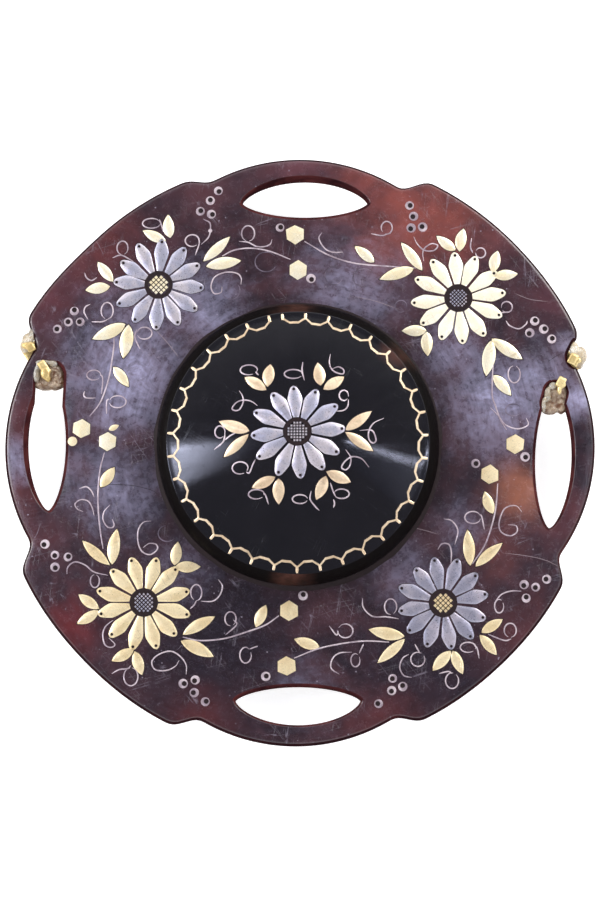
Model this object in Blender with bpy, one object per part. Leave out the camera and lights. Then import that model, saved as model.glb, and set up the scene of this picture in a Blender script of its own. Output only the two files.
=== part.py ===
"""Round tortoiseshell brooch with gold and silver pique inlay, a domed boss and a hinged pin.

Frame: +X right and +Y up as the brooch is worn, +Z out of its front. The origin is the middle of
the outline, on the surface that the pin fittings lie on. Every size below is in millimetres, and
the meshes are made in metres.
"""

import math

import bmesh
import bpy
from mathutils import Matrix, Vector

MM = 0.001

# Plate: a domed disc. Heights are above the surface that the fittings lie on.
RIM_RADIUS = 30.0
RIM_BACK_Z = 2.30
PLATE_THICKNESS = 1.9
PLATE_CROWN = 1.5
SIDE_ARC_RADIUS = 18.5
SIDE_ARC_OFFSET = 11.0
SIDE_ANGLES = (2.5, 90.0, 178.5, 267.7, 362.5)
LOBE_RADII = ((30.35, 30.1, 30.15), (29.6, 29.65, 30.5), (30.3, 30.05, 30.25), (29.55, 29.3, 29.45))
NOTCH_ANGLES = (19.2, 68.6, 108.6, 158.0, 199.4, 249.0, 289.9, 337.3)
NOTCH_RISE = 3.6
CORNER_SOFTNESS = 0.8
COARSE_STEP = 4.0
FINE_STEP = 1.2
FINE_REACH = 4.8
FLAT_SPOT = 3.0

# Side openings: angle round the plate, shift and half length along the side, mid edges and tip.
SLOTS = {
    "east": {"angle": -2.0, "shift": 0.1, "half": 7.0, "outer": 27.2, "inner": 23.5, "tip": 25.1},
    "north": {"angle": 90.0, "shift": -0.5, "half": 6.3, "outer": 27.4, "inner": 23.5, "tip": 25.0},
    "west": {"angle": 180.0, "shift": -0.7, "half": 6.7, "outer": 27.2, "inner": 23.4, "tip": 25.1},
    "south": {"angle": 270.0, "shift": -0.2, "half": 6.2, "outer": 27.4, "inner": 23.6, "tip": 25.0},
}
SLOT_POWER = 0.68
SLOT_STEPS = 14

# Two openings and two notches are filed wider for the claws: ends and radius of a round-ended slot.
FILED = {
    "west": ((-25.2, 4.4), (-25.05, 7.5), 1.42),
    "east": ((25.45, 4.9), (25.75, 5.8), 1.4),
    "west_notch": ((-27.75, 10.6), (-27.9, 11.3), 1.15),
    "east_notch": ((27.92, 9.45), (28.35, 10.3), 1.15),
}

# Boss: a hollow dome seated on the plate.
BOSS_CENTRE = (-0.2, 0.4)
BOSS_RADIUS = 14.05
BOSS_SHOULDER = 13.2
BOSS_SHOULDER_RISE = 2.6
BOSS_APEX_RISE = 5.0
BOSS_ROUNDING = 8.0
BOSS_WALL = 1.2
BOSS_FOOT_RISE = 0.7
BOSS_BEND_INSET = 0.4
BOSS_SEAT_GAP = 0.05
BOSS_FACE_SHARES = (0.12, 0.3, 0.5, 0.7, 0.86)
BOSS_STEPS = 54

# Inlay: thin plates that lie just above the surface.
INLAY_GAP = 0.04
INLAY_THICKNESS = 0.12

PETALS = 12
FLOWER_RADIUS = 4.75
HUB_INNER = 1.2
HUB_OUTER = 1.5
PETAL_SHOULDER = (3.5, 0.82)
PETAL_NECK = (4.25, 0.5)
FLOWERS = {
    "nw": {"at": (-14.15, 16.6), "turn": -3.5, "metal": "silver", "centre": 1.02},
    "ne": {"at": (15.85, 15.27), "turn": 6.0, "metal": "gold", "centre": 0.87},
    "sw": {"at": (-15.53, -15.26), "turn": 15.0, "metal": "gold", "centre": 0.92},
    "se": {"at": (14.22, -15.32), "turn": 10.0, "metal": "silver", "centre": 1.03},
    "boss": {"at": (-0.26, 1.25), "turn": 4.0, "metal": "silver", "centre": 1.0},
}

HEXAGON_RADIUS = 1.0
HEXAGONS = {
    "north_outer": (-0.5, 21.7),
    "north_inner": (-0.2, 18.05),
    "west_outer": (-21.8, 2.15),
    "west_inner": (-19.2, 0.8),
    "south_inner": (-1.1, -16.1),
    "south_outer": (-1.33, -21.57),
    "east_outer": (21.46, 0.54),
    "east_inner": (18.9, -2.5),
}

# Leaves: centre x and y, heading in degrees, length and width. Two in one group share a stalk.
LEAVES = {
    "nw": [
        [(-14.62, 21.62, 154, 2.55, 1.1), (-13.13, 22.59, 95, 2.4, 1.2)],
        [(-19.5, 17.98, 127, 2.56, 1.1), (-20.27, 16.3, 188, 2.5, 1.2)],
        [(-8.35, 20.23, 43, 3.65, 1.1), (-7.65, 18.74, 9, 3.55, 1.3)],
        [(-19.12, 11.9, 204, 3.63, 1.4), (-17.4, 10.88, 261, 3.45, 1.4)],
        [(-17.87, 7.31, -53, 2.55, 1.1)],
    ],
    "ne": [
        [(14.63, 20.87, 142, 2.38, 1.1), (16.2, 21.2, 79, 2.39, 1.2)],
        [(19.58, 19.0, 77, 2.33, 1.2), (20.63, 17.65, 6, 2.42, 1.15)],
        [(11.2, 19.48, 126, 3.52, 1.15), (9.67, 17.7, 198, 3.6, 1.25)],
        [(6.46, 19.7, 139, 2.53, 1.1)],
        [(11.4, 11.94, 181, 2.46, 1.2), (12.7, 10.6, -88, 2.46, 1.25)],
        [(18.87, 9.19, 261, 3.64, 1.4), (20.7, 10.15, -34, 3.67, 1.3)],
        [(20.2, 6.46, -50, 2.68, 1.2)],
    ],
    "sw": [
        [(-20.3, -10.3, 138, 3.65, 1.1), (-18.46, -9.7, 82, 3.57, 1.3)],
        [(-12.3, -10.4, 81, 2.37, 1.2), (-11.14, -11.73, 0, 2.52, 1.2)],
        [(-21.0, -15.15, 145, 2.5, 1.1), (-21.1, -16.7, 211, 2.5, 1.1)],
        [(-17.6, -20.45, 208, 2.5, 1.15), (-16.06, -21.27, -73, 2.46, 1.2)],
        [(-10.05, -17.57, 29, 3.64, 1.2), (-10.2, -19.87, -26, 3.6, 1.3)],
        [(-19.18, -2.78, 55, 2.44, 1.2)],
        [(-3.88, -16.63, 65, 2.42, 1.15)],
    ],
    "se": [
        [(16.8, -9.8, 94, 3.58, 1.25), (18.8, -10.5, 41, 3.56, 1.1)],
        [(19.1, -17.57, 32, 2.48, 1.1), (18.7, -19.46, -50, 2.58, 1.1)],
        [(14.08, -21.04, 227, 2.66, 1.2), (15.66, -21.2, -67, 2.5, 1.15)],
        [(8.6, -18.3, 169, 3.6, 1.3), (9.05, -20.08, 221, 3.6, 1.1)],
        [(18.8, -5.3, 110, 2.36, 1.15)],
        [(0.68, -19.3, 162, 2.63, 1.15)],
    ],
    "boss": [
        [(-4.4, 6.1, 148, 2.52, 1.15), (-3.07, 6.9, 82, 2.3, 1.25)],
        [(1.9, 7.05, 97, 2.34, 1.25), (3.34, 6.15, 32, 2.42, 1.15)],
        [(5.8, 2.4, 37, 3.2, 1.1), (5.85, 0.3, -34, 3.27, 1.1)],
        [(-6.5, 1.85, 161, 3.15, 1.25), (-6.3, -0.1, 222, 3.3, 1.05)],
        [(-3.6, -3.75, 204, 2.5, 1.1), (-2.1, -4.65, -90, 2.5, 1.25)],
        [(2.08, -4.3, 247, 2.5, 1.2), (3.8, -3.2, -23, 2.59, 1.2)],
    ],
}
LEAF_STALK = 0.12
LEAF_CLEARANCE = 0.3
LEAF_STATIONS = ((0.32, 0.8), (0.62, 0.85))

# Border of the boss: an open strip of scallops.
SCALLOPS = 34
SCALLOP_STEPS = 3
BORDER_CUSP = 12.45
BORDER_BULGE = 0.55
BORDER_WIDTH = 0.27
BORDER_SPUR = 12.95
BORDER_START = 103.0
BORDER_GAP = 6.0

# Pin fittings. Each is a strap across the neck between a notch and a side opening.
STRAP_TOP_Z = RIM_BACK_Z + 0.1
STRAP_THICKNESS = 0.5
STRAP_WIDTH = 1.9
CLAW_WIDTH = 0.9
CLAW_THICKNESS = 0.4
CLAW_LAP_GAP = 0.05
CLAW_LAP_THICKNESS = 0.35
FITTINGS = {
    "hinge": {
        "neck": (-26.37, 9.46),
        "along": (-0.555, 0.832),
        "ends": (-2.6, 1.75),
        "claws": ((-2.0, -0.6), (1.4, 0.55)),
        "tongue": ((-26.6, -21.2), (7.2, 9.8)),
    },
    "catch": {
        "neck": (26.68, 7.97),
        "along": (0.452, 0.892),
        "ends": (-3.3, 2.2),
        "claws": ((-1.65, -0.7), (1.75, 0.75)),
        "tongue": ((22.6, 26.9), (7.5, 10.6)),
    },
}
CLAW_CORNER = 0.2
CLAW_HEEL = 0.15
JOIN_OVERLAP = 0.3

PIN_Y = 8.5
PIN_Z = 0.9
HINGE_X = -22.3
EAR_RADIUS = 0.9
EAR_INNER = 0.45
EAR_THICKNESS = 0.45
RIVET_RADIUS = 0.33
RIVET_CLEARANCE = 0.03
RIVET_HEAD_RADIUS = 0.52
RIVET_HEAD_THICKNESS = 0.15
BORE_RADIUS = 0.38
KNUCKLE_RADIUS = 0.78
KNUCKLE_WIDTH = 0.8
SPIGOT_RADIUS = 0.38
SPIGOT_START = 0.5
STEM_START_X = HINGE_X + 1.55
STEM_GAP = 0.04
STEM_SECTIONS = ((0.0, 0.36), (0.5, 0.40), (38.0, 0.38), (43.5, 0.28), (46.6, 0.10), (47.1, 0.04))
HOOK_X = (23.2, 24.8)
HOOK_Y = 9.83
HOOK_INNER = 0.55
HOOK_BAND = 0.35
HOOK_LIP = -0.35
HOOK_SHANK = (-0.6, 0.35)

# Plugs of old adhesive in the two filed openings: outline, and the gaps below and above them.
PLUGS = {
    "adhesive_left": (
        (-26.3, 6.3), (-25.5, 5.9), (-24.7, 5.95), (-23.95, 6.1), (-23.85, 7.2), (-26.3, 7.2)
    ),
    "adhesive_right": (
        (24.25, 4.4), (24.7, 3.95), (25.6, 3.8), (26.4, 4.0), (26.7, 4.7), (26.7, 5.9), (24.5, 5.9)
    ),
}
PLUG_ABOVE_BACK = 0.3
PLUG_BELOW_FRONT = 0.1

COLORS = {
    "shell": ((0.045, 0.032, 0.05, 1), 0.25, 0.0),
    "dark_shell": ((0.012, 0.012, 0.018, 1), 0.12, 0.0),
    "gold": ((0.83, 0.66, 0.38, 1), 0.3, 1.0),
    "silver": ((0.62, 0.62, 0.7, 1), 0.3, 1.0),
    "gilt_brass": ((0.75, 0.58, 0.3, 1), 0.35, 1.0),
    "steel": ((0.5, 0.5, 0.52, 1), 0.3, 1.0),
    "adhesive": ((0.45, 0.36, 0.26, 1), 0.3, 0.0),
}


def clear_scene():
    """Removes what a new file holds."""
    for old in list(bpy.data.objects):
        bpy.data.objects.remove(old, do_unlink=True)


def material(name):
    """The named material, made on first use."""
    found = bpy.data.materials.get(name)
    if found:
        return found
    color, roughness, metallic = COLORS[name]
    made = bpy.data.materials.new(name)
    made.use_nodes = True
    made.diffuse_color = color
    shader = made.node_tree.nodes["Principled BSDF"]
    shader.inputs["Base Color"].default_value = color
    shader.inputs["Roughness"].default_value = roughness
    shader.inputs["Metallic"].default_value = metallic
    return made


def add_object(name, mesh, material_name, at=(0, 0, 0), smooth_angle=None):
    """An object with its mesh in metres, at a place in millimetres."""
    mesh.materials.append(material(material_name))
    if smooth_angle:
        mesh.shade_smooth()
        mesh.set_sharp_from_angle(angle=math.radians(smooth_angle))
    made = bpy.data.objects.new(name, mesh)
    made.location = Vector(at) * MM
    bpy.context.scene.collection.objects.link(made)
    return made


def mesh_from(name, points, faces):
    """A mesh from points in millimetres, with its faces turned outwards."""
    mesh = bpy.data.meshes.new(name)
    work = bmesh.new()
    corners = [work.verts.new(Vector(point) * MM) for point in points]
    for face in faces:
        work.faces.new([corners[i] for i in face])
    bmesh.ops.recalc_face_normals(work, faces=work.faces[:])
    work.to_mesh(mesh)
    work.free()
    return mesh


def ring_faces(first, second, count):
    """Quads between two closed rings of points, given by their first indices."""
    return [
        (first + i, first + (i + 1) % count, second + (i + 1) % count, second + i)
        for i in range(count)
    ]


def prism(outline, low, high):
    """Points and faces of an upright prism. low and high are heights or functions of x and y."""
    count = len(outline)
    bottom = [(x, y, low(x, y) if callable(low) else low) for x, y in outline]
    top = [(x, y, high(x, y) if callable(high) else high) for x, y in outline]
    faces = [tuple(range(count)), tuple(range(count, 2 * count))]
    return bottom + top, faces + ring_faces(0, count, count)


def cutter(name, mesh):
    """An object that only cuts or joins, and isn't part of the brooch."""
    made = add_object(name, mesh, "steel")
    made.hide_render = True
    made.display_type = "WIRE"
    return made


def combine(target, tool, operation):
    """Adds a Boolean modifier that cuts the tool out of the target or joins it on."""
    step = target.modifiers.new(tool.name, "BOOLEAN")
    step.operation = operation
    step.solver = "EXACT"
    step.object = tool


def back_z(x, y):
    """Height of the plate's back."""
    return RIM_BACK_Z + PLATE_CROWN * (1 - (x * x + y * y) / RIM_RADIUS**2)


def front_z(x, y):
    """Height of the plate's front."""
    return back_z(x, y) + PLATE_THICKNESS


BOSS_SEAT_Z = front_z(BOSS_RADIUS, 0)


def dome_height(radius):
    """Height of the boss above its seat: a cone with a rounded top."""
    drop = math.hypot(1, radius / BOSS_ROUNDING) - 1
    full = math.hypot(1, BOSS_SHOULDER / BOSS_ROUNDING) - 1
    return BOSS_APEX_RISE - (BOSS_APEX_RISE - BOSS_SHOULDER_RISE) * drop / full


def dome_z(x, y):
    """Height of the boss's face."""
    return BOSS_SEAT_Z + dome_height(math.hypot(x - BOSS_CENTRE[0], y - BOSS_CENTRE[1]))


def smooth_step(value):
    """0 below 0, 1 above 1, and an even curve between."""
    value = min(max(value, 0.0), 1.0)
    return value * value * (3 - 2 * value)


def side_radius(angle):
    """Radius of a side rim, at an angle in degrees from the side's middle."""
    turn = math.radians(angle)
    across = SIDE_ARC_OFFSET * math.sin(turn)
    return SIDE_ARC_OFFSET * math.cos(turn) + math.sqrt(SIDE_ARC_RADIUS**2 - across**2)


def lobe_radius(lobe, share):
    """Radius of a corner lobe, whose ends bulge a little. share runs from 0 to 1 along it."""
    first, middle, last = LOBE_RADII[lobe]
    end = first if share < 0.5 else last
    return middle + (end - middle) * smooth_step(abs(2 * share - 1))


def sharp_radius(degrees):
    """Radius of the outline with sharp corners: side arcs, and lobes between the notches."""
    degrees %= 360
    quarter = int(degrees // 90)
    start, end = NOTCH_ANGLES[2 * quarter : 2 * quarter + 2]
    side = side_radius(min(abs(degrees - middle) for middle in SIDE_ANGLES))
    rise = smooth_step((degrees - start) / NOTCH_RISE) * smooth_step((end - degrees) / NOTCH_RISE)
    lobe = lobe_radius(quarter, (degrees - start) / (end - start))
    return side + (lobe - side) * rise


def outline_radius(degrees):
    """Radius of the plate's outline, with its corners worn round."""
    near = [sharp_radius(degrees + CORNER_SOFTNESS * i) for i in (-2, -1, 0, 1, 2)]
    return sum(near) / len(near)


def outline_angles():
    """Angles of the outline's points in degrees, closer together at each notch."""
    coarse = int(360 / COARSE_STEP)
    angles = [COARSE_STEP * i for i in range(coarse)]
    angles = [a for a in angles if min(abs(a - notch) for notch in NOTCH_ANGLES) > FINE_REACH]
    fine = int(2 * FINE_REACH / FINE_STEP)
    for notch in NOTCH_ANGLES:
        angles += [notch - FINE_REACH + FINE_STEP * i for i in range(fine + 1)]
    return sorted(angles)


def plate_mesh():
    """The domed disc with a rounded edge, before its openings are cut."""
    angles = outline_angles()
    count = len(angles)
    points = []
    faces = []

    def ring(radius_of, height_of):
        for degrees in angles:
            radius = radius_of(outline_radius(degrees))
            x = radius * math.cos(math.radians(degrees))
            y = radius * math.sin(math.radians(degrees))
            points.append((x, y, height_of(x, y)))

    ring(lambda r: FLAT_SPOT, lambda x, y: front_z(0, 0))
    for share in (0.36, 0.68):
        ring(lambda r: share * r, front_z)
    for inset, drop in ((0.55, 0.0), (0.14, 0.14), (0.0, 0.5)):
        ring(lambda r: r - inset, lambda x, y: front_z(x, y) - drop)
    for inset, lift in ((0.0, 0.4), (0.3, 0.0)):
        ring(lambda r: r - inset, lambda x, y: back_z(x, y) + lift)
    for share in (0.68, 0.36):
        ring(lambda r: share * r, back_z)
    ring(lambda r: FLAT_SPOT, lambda x, y: back_z(0, 0))
    rings = len(points) // count
    for i in range(rings - 1):
        faces += ring_faces(i * count, (i + 1) * count, count)
    faces.append(tuple(range(count)))
    faces.append(tuple(range((rings - 1) * count, rings * count)))
    return mesh_from("shell_plate", points, faces)


def slot_outline(slot):
    """A side opening: a lens with rounded ends, turned to its side."""
    turn = Matrix.Rotation(math.radians(slot["angle"]), 2)
    points = []
    for edge, sign in ((slot["outer"], 1), (slot["inner"], -1)):
        for i in range(SLOT_STEPS):
            share = -sign * math.cos(math.pi * i / SLOT_STEPS)
            width = (1 - share * share) ** SLOT_POWER
            out = slot["tip"] + (edge - slot["tip"]) * width
            points.append(turn @ Vector((out, slot["shift"] + slot["half"] * share)))
    return [tuple(point) for point in points]


def round_ended(start, end, radius, steps=8):
    """Outline of a slot with round ends."""
    heading = math.atan2(end[1] - start[1], end[0] - start[0])
    points = []
    for centre, base in ((end, heading - math.pi / 2), (start, heading + math.pi / 2)):
        for i in range(steps + 1):
            turn = base + math.pi * i / steps
            points.append((centre[0] + radius * math.cos(turn), centre[1] + radius * math.sin(turn)))
    return points


def make_plate():
    """The shell plate with its four openings."""
    plate = add_object("shell_plate", plate_mesh(), "shell", smooth_angle=30)
    for name, slot in SLOTS.items():
        shape = mesh_from("slot", *prism(slot_outline(slot), 0, 2 * RIM_BACK_Z + PLATE_THICKNESS))
        combine(plate, cutter("slot_" + name, shape), "DIFFERENCE")
    for name, filed in FILED.items():
        outline = round_ended(*filed)
        shape = mesh_from("filed", *prism(outline, 0, 2 * RIM_BACK_Z + PLATE_THICKNESS))
        combine(plate, cutter("filed_" + name, shape), "DIFFERENCE")


def make_boss():
    """The hollow dome. Its open underside follows the plate."""
    profile = [(BOSS_RADIUS * share, dome_height(BOSS_RADIUS * share)) for share in BOSS_FACE_SHARES]
    bend_start = BOSS_SHOULDER - BOSS_BEND_INSET
    bend_height = dome_height(BOSS_SHOULDER) - BOSS_FOOT_RISE
    for turn in (75, 50, 25, 0):
        bend = math.radians(turn)
        radius = bend_start + (BOSS_RADIUS - bend_start) * math.cos(bend)
        profile.append((radius, BOSS_FOOT_RISE + bend_height * math.sin(bend)))
    inner = [
        (radius - BOSS_WALL, max(height - BOSS_WALL, BOSS_WALL / 2)) for radius, height in profile[3:-1]
    ]
    points = []
    count = BOSS_STEPS

    def ring(radius, height_of):
        for i in range(count):
            turn = 2 * math.pi * i / count
            x = BOSS_CENTRE[0] + radius * math.cos(turn)
            y = BOSS_CENTRE[1] + radius * math.sin(turn)
            points.append((x, y, height_of(x, y)))

    for radius, height in profile:
        ring(radius, lambda x, y: BOSS_SEAT_Z + height)
    for radius in (BOSS_RADIUS, BOSS_RADIUS - BOSS_WALL):
        ring(radius, lambda x, y: front_z(x, y) + BOSS_SEAT_GAP)
    for radius, height in reversed(inner):
        ring(radius, lambda x, y: BOSS_SEAT_Z + height)
    rings = len(points) // count
    faces = [tuple(range(count))]
    for i in range(rings - 1):
        faces += ring_faces(i * count, (i + 1) * count, count)
    faces.append(tuple(range((rings - 1) * count, rings * count)))
    add_object("boss", mesh_from("boss", points, faces), "dark_shell", smooth_angle=40)


def add_plaque(name, flat_points, flat_faces, surface, material_name):
    """A thin inlay plate: a flat net of faces laid over a surface and thickened."""
    count = len(flat_points)
    points = [(x, y, surface(x, y) + INLAY_GAP) for x, y in flat_points]
    points += [(x, y, z + INLAY_THICKNESS) for x, y, z in points]
    faces = [tuple(face) for face in flat_faces]
    faces += [tuple(i + count for i in face) for face in flat_faces]
    used = {}
    for face in flat_faces:
        for a, b in zip(face, face[1:] + face[:1]):
            key = (min(a, b), max(a, b))
            used[key] = used.get(key, 0) + 1
    faces += [(a, b, b + count, a + count) for (a, b), times in used.items() if times == 1]
    add_object(name, mesh_from(name, points, faces), material_name)


def surface_for(place):
    """The surface that an inlay lies on."""
    return dome_z if place == "boss" else front_z


def make_flower(place, flower):
    """Twelve petals on a hub ring, and a hexagonal centre."""
    x0, y0 = flower["at"]
    points = []
    faces = []

    def add(radius, degrees, aside=0.0):
        turn = math.radians(degrees)
        x = x0 + radius * math.cos(turn) - aside * math.sin(turn)
        y = y0 + radius * math.sin(turn) + aside * math.cos(turn)
        points.append((x, y))
        return len(points) - 1

    step = 360 / PETALS
    inner = []
    valley = []
    for k in range(PETALS):
        degrees = flower["turn"] + step * (k - 0.5)
        inner.append(add(HUB_INNER, degrees))
        valley.append(add(HUB_OUTER, degrees))
    for k in range(PETALS):
        degrees = flower["turn"] + step * k
        right = add(PETAL_SHOULDER[0], degrees, -PETAL_SHOULDER[1])
        right_tip = add(PETAL_NECK[0], degrees, -PETAL_NECK[1])
        tip = add(FLOWER_RADIUS, degrees)
        left_tip = add(PETAL_NECK[0], degrees, PETAL_NECK[1])
        left = add(PETAL_SHOULDER[0], degrees, PETAL_SHOULDER[1])
        after = (k + 1) % PETALS
        faces.append([inner[k], valley[k], valley[after], inner[after]])
        faces.append([valley[k], right, left, valley[after]])
        faces.append([right, right_tip, tip, left_tip, left])
    surface = surface_for(place)
    add_plaque(f"flower_{place}_petals", points, faces, surface, flower["metal"])
    centre_metal = "gold" if flower["metal"] == "silver" and place != "boss" else "silver"
    make_hexagon(f"flower_{place}_centre", flower["at"], flower["centre"], surface, centre_metal)


def make_hexagon(name, at, radius, surface, material_name):
    """A six-sided inlay plate."""
    turns = [math.radians(60 * i + 30) for i in range(6)]
    points = [(at[0] + radius * math.cos(t), at[1] + radius * math.sin(t)) for t in turns]
    add_plaque(name, points, [list(range(6))], surface, material_name)


def clear_of_flower(stalk, flower):
    """The stalk point, moved out where it would lie under a petal."""
    away = stalk - Vector(flower["at"])
    least = FLOWER_RADIUS + LEAF_CLEARANCE
    return stalk if away.length > least else stalk + away.normalized() * (least - away.length)


def make_leaves(name, leaves, place):
    """One leaf, or two that meet at their stalks, as one plate."""
    frames = []
    for x, y, heading, length, width in leaves:
        turn = math.radians(heading)
        along = Vector((math.cos(turn), math.sin(turn)))
        centre = Vector((x, y))
        frames.append((centre - along * length / 2, centre + along * length / 2, width))
    stalk = sum((base for base, _, _ in frames), Vector((0, 0))) / len(frames)
    stalk = clear_of_flower(stalk, FLOWERS[place])
    if len(frames) == 2 and (frames[0][1] - stalk).cross(frames[1][1] - stalk) > 0:
        frames.reverse()
    headings = [(tip - stalk).normalized() for _, tip, _ in frames]
    middle = sum(headings, Vector((0, 0))).normalized()
    aside = Vector((-middle.y, middle.x))
    points = [stalk - middle * LEAF_STALK, stalk + aside * LEAF_STALK]
    if len(frames) == 2:
        points.append(stalk + middle * 1.6 * LEAF_STALK)
    points.append(stalk - aside * LEAF_STALK)
    faces = [list(range(len(points)))]
    for k, (_, tip, width) in enumerate(frames):
        along = tip - stalk
        across = Vector((-along.y, along.x)).normalized() * width / 2
        left, right = 1 + k, 2 + k
        for share, full in LEAF_STATIONS:
            points.append(stalk + along * share + across * full)
            points.append(stalk + along * share - across * full)
            faces.append([right, left, len(points) - 2, len(points) - 1])
            left, right = len(points) - 2, len(points) - 1
        points.append(tip)
        faces.append([right, left, len(points) - 1])
    add_plaque(name, [tuple(point) for point in points], faces, surface_for(place), "gold")


def make_border():
    """The scalloped strip round the boss. Its two ends don't quite meet."""
    count = SCALLOPS * SCALLOP_STEPS
    points = []
    for i in range(count + 1):
        phase = (i % SCALLOP_STEPS) / SCALLOP_STEPS
        turn = math.radians(BORDER_START + (360 - BORDER_GAP) * i / count)
        middle = BORDER_CUSP - BORDER_BULGE * math.sin(math.pi * phase)
        outer = BORDER_SPUR if phase == 0 else middle + BORDER_WIDTH / 2
        for radius in (middle - BORDER_WIDTH / 2, outer):
            x = BOSS_CENTRE[0] + radius * math.cos(turn)
            y = BOSS_CENTRE[1] + radius * math.sin(turn)
            points.append((x, y))
    faces = [[2 * i, 2 * i + 1, 2 * i + 3, 2 * i + 2] for i in range(count)]
    add_plaque("boss_border", points, faces, dome_z, "gold")


def make_inlay():
    """Every inlay plate."""
    for place, flower in FLOWERS.items():
        make_flower(place, flower)
    for name, at in HEXAGONS.items():
        make_hexagon("hexagon_" + name, at, HEXAGON_RADIUS, front_z, "gold")
    for place, groups in LEAVES.items():
        for number, leaves in enumerate(groups, 1):
            name = f"leaves_{place}_{number}"
            make_leaves(name, leaves, place)
    make_border()


def cylinder_points(start, end, radii, sides):
    """Points and faces of a round bar along a line, through sections of share and radius."""
    start, end = Vector(start), Vector(end)
    along = (end - start).normalized()
    side = along.orthogonal().normalized()
    other = along.cross(side)
    points = []
    for share, radius in radii:
        centre = start.lerp(end, share)
        for i in range(sides):
            turn = 2 * math.pi * i / sides
            points.append(centre + (side * math.cos(turn) + other * math.sin(turn)) * radius)
    faces = [tuple(range(sides))]
    for i in range(len(radii) - 1):
        faces += ring_faces(i * sides, (i + 1) * sides, sides)
    faces.append(tuple(range((len(radii) - 1) * sides, len(radii) * sides)))
    return points, faces


def bar(name, start, end, radius, sides=24):
    """A plain round bar as a mesh."""
    return mesh_from(name, *cylinder_points(start, end, ((0, radius), (1, radius)), sides))


def swept(name, profile, origin, along, up, sideways, half_width):
    """A flat profile, given along and up, thickened sideways."""
    along, up, sideways = Vector(along), Vector(up), Vector(sideways)
    points = []
    for side in (-half_width, half_width):
        for a, b in profile:
            points.append(Vector(origin) + along * a + up * b + sideways * side)
    count = len(profile)
    faces = [tuple(range(count)), tuple(range(count, 2 * count))]
    return mesh_from(name, points, faces + ring_faces(0, count, count))


def strap_parts(kind):
    """The strap across the neck and its two claws, as meshes to be joined."""
    fitting = FITTINGS[kind]
    x, y = fitting["neck"]
    along = Vector((*fitting["along"], 0)).normalized()
    up = Vector((0, 0, 1))
    sideways = along.cross(up)
    bottom = STRAP_TOP_Z - STRAP_THICKNESS
    first, last = fitting["ends"]
    base = [(first, bottom), (last, bottom), (last, STRAP_TOP_Z), (first, STRAP_TOP_Z)]
    parts = [swept(kind + "_strap", base, (x, y, 0), along, up, sideways, STRAP_WIDTH / 2)]
    for place, reach in fitting["claws"]:
        tip = Vector((x, y, 0)) + along * reach
        lap = front_z(tip.x, tip.y) + CLAW_LAP_GAP
        half = CLAW_THICKNESS / 2
        toward = math.copysign(1, reach - place)
        far, near = place - toward * half, place + toward * half
        top = lap + CLAW_LAP_THICKNESS
        profile = [
            (far, STRAP_TOP_Z - JOIN_OVERLAP),
            (near, STRAP_TOP_Z - JOIN_OVERLAP),
            (near, lap),
            (reach, lap),
            (reach, top - CLAW_HEEL),
            (reach - toward * CLAW_CORNER, top),
            (far + toward * CLAW_HEEL, top),
            (far, top - CLAW_CORNER),
        ]
        parts.append(swept(kind + "_claw", profile, (x, y, 0), along, up, sideways, CLAW_WIDTH / 2))
    return parts


def tongue_mesh(kind):
    """The flat arm behind the plate that carries the ears or the hook."""
    (left, right), (low, high) = FITTINGS[kind]["tongue"]
    outline = [(left, low), (right, low), (right, high), (left, high)]
    solid = prism(outline, STRAP_TOP_Z - STRAP_THICKNESS + 0.01, STRAP_TOP_Z - 0.01)
    return mesh_from(kind + "_tongue", *solid)


def join_parts(name, parts, material_name):
    """One object from several overlapping meshes."""
    whole = add_object(name, parts[0], material_name, smooth_angle=30)
    for number, mesh in enumerate(parts[1:], 1):
        combine(whole, cutter(f"{name}_part_{number}", mesh), "UNION")
    return whole


def make_hinge():
    """The hinge fitting: strap, claws, tongue and two ears, with a rivet through the ears."""
    parts = strap_parts("hinge")
    parts.append(tongue_mesh("hinge"))
    arc = [math.radians(turn) for turn in range(180, 361, 15)]
    profile = [(EAR_RADIUS * math.cos(turn), EAR_RADIUS * math.sin(turn)) for turn in arc]
    neck_height = STRAP_TOP_Z - JOIN_OVERLAP - PIN_Z
    profile += [(EAR_RADIUS, neck_height), (-EAR_RADIUS, neck_height)]
    for side in (-1, 1):
        middle = PIN_Y + side * (EAR_INNER + EAR_THICKNESS / 2)
        origin = (HINGE_X, middle, PIN_Z)
        ear = swept("ear", profile, origin, (1, 0, 0), (0, 0, 1), (0, 1, 0), EAR_THICKNESS / 2)
        parts.append(ear)
    hinge = join_parts("hinge_fitting", parts, "gilt_brass")
    reach = 2 * (EAR_INNER + EAR_THICKNESS)
    low, high = (HINGE_X, PIN_Y - reach, PIN_Z), (HINGE_X, PIN_Y + reach, PIN_Z)
    bore = bar("ear_bore", low, high, RIVET_RADIUS + RIVET_CLEARANCE)
    combine(hinge, cutter("ear_bore", bore), "DIFFERENCE")


def make_rivet():
    """The rivet, with a low head outside each ear."""
    inside = EAR_INNER + EAR_THICKNESS + RIVET_CLEARANCE
    outside = inside + RIVET_HEAD_THICKNESS
    length = 2 * outside
    neck = (outside - inside) / length
    sections = (
        (0, RIVET_HEAD_RADIUS),
        (neck, RIVET_HEAD_RADIUS),
        (neck, RIVET_RADIUS),
        (1 - neck, RIVET_RADIUS),
        (1 - neck, RIVET_HEAD_RADIUS),
        (1, RIVET_HEAD_RADIUS),
    )
    start, end = (0, -outside, 0), (0, outside, 0)
    mesh = mesh_from("hinge_rivet", *cylinder_points(start, end, sections, 24))
    add_object("hinge_rivet", mesh, "steel", at=(HINGE_X, PIN_Y, PIN_Z), smooth_angle=30)


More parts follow.
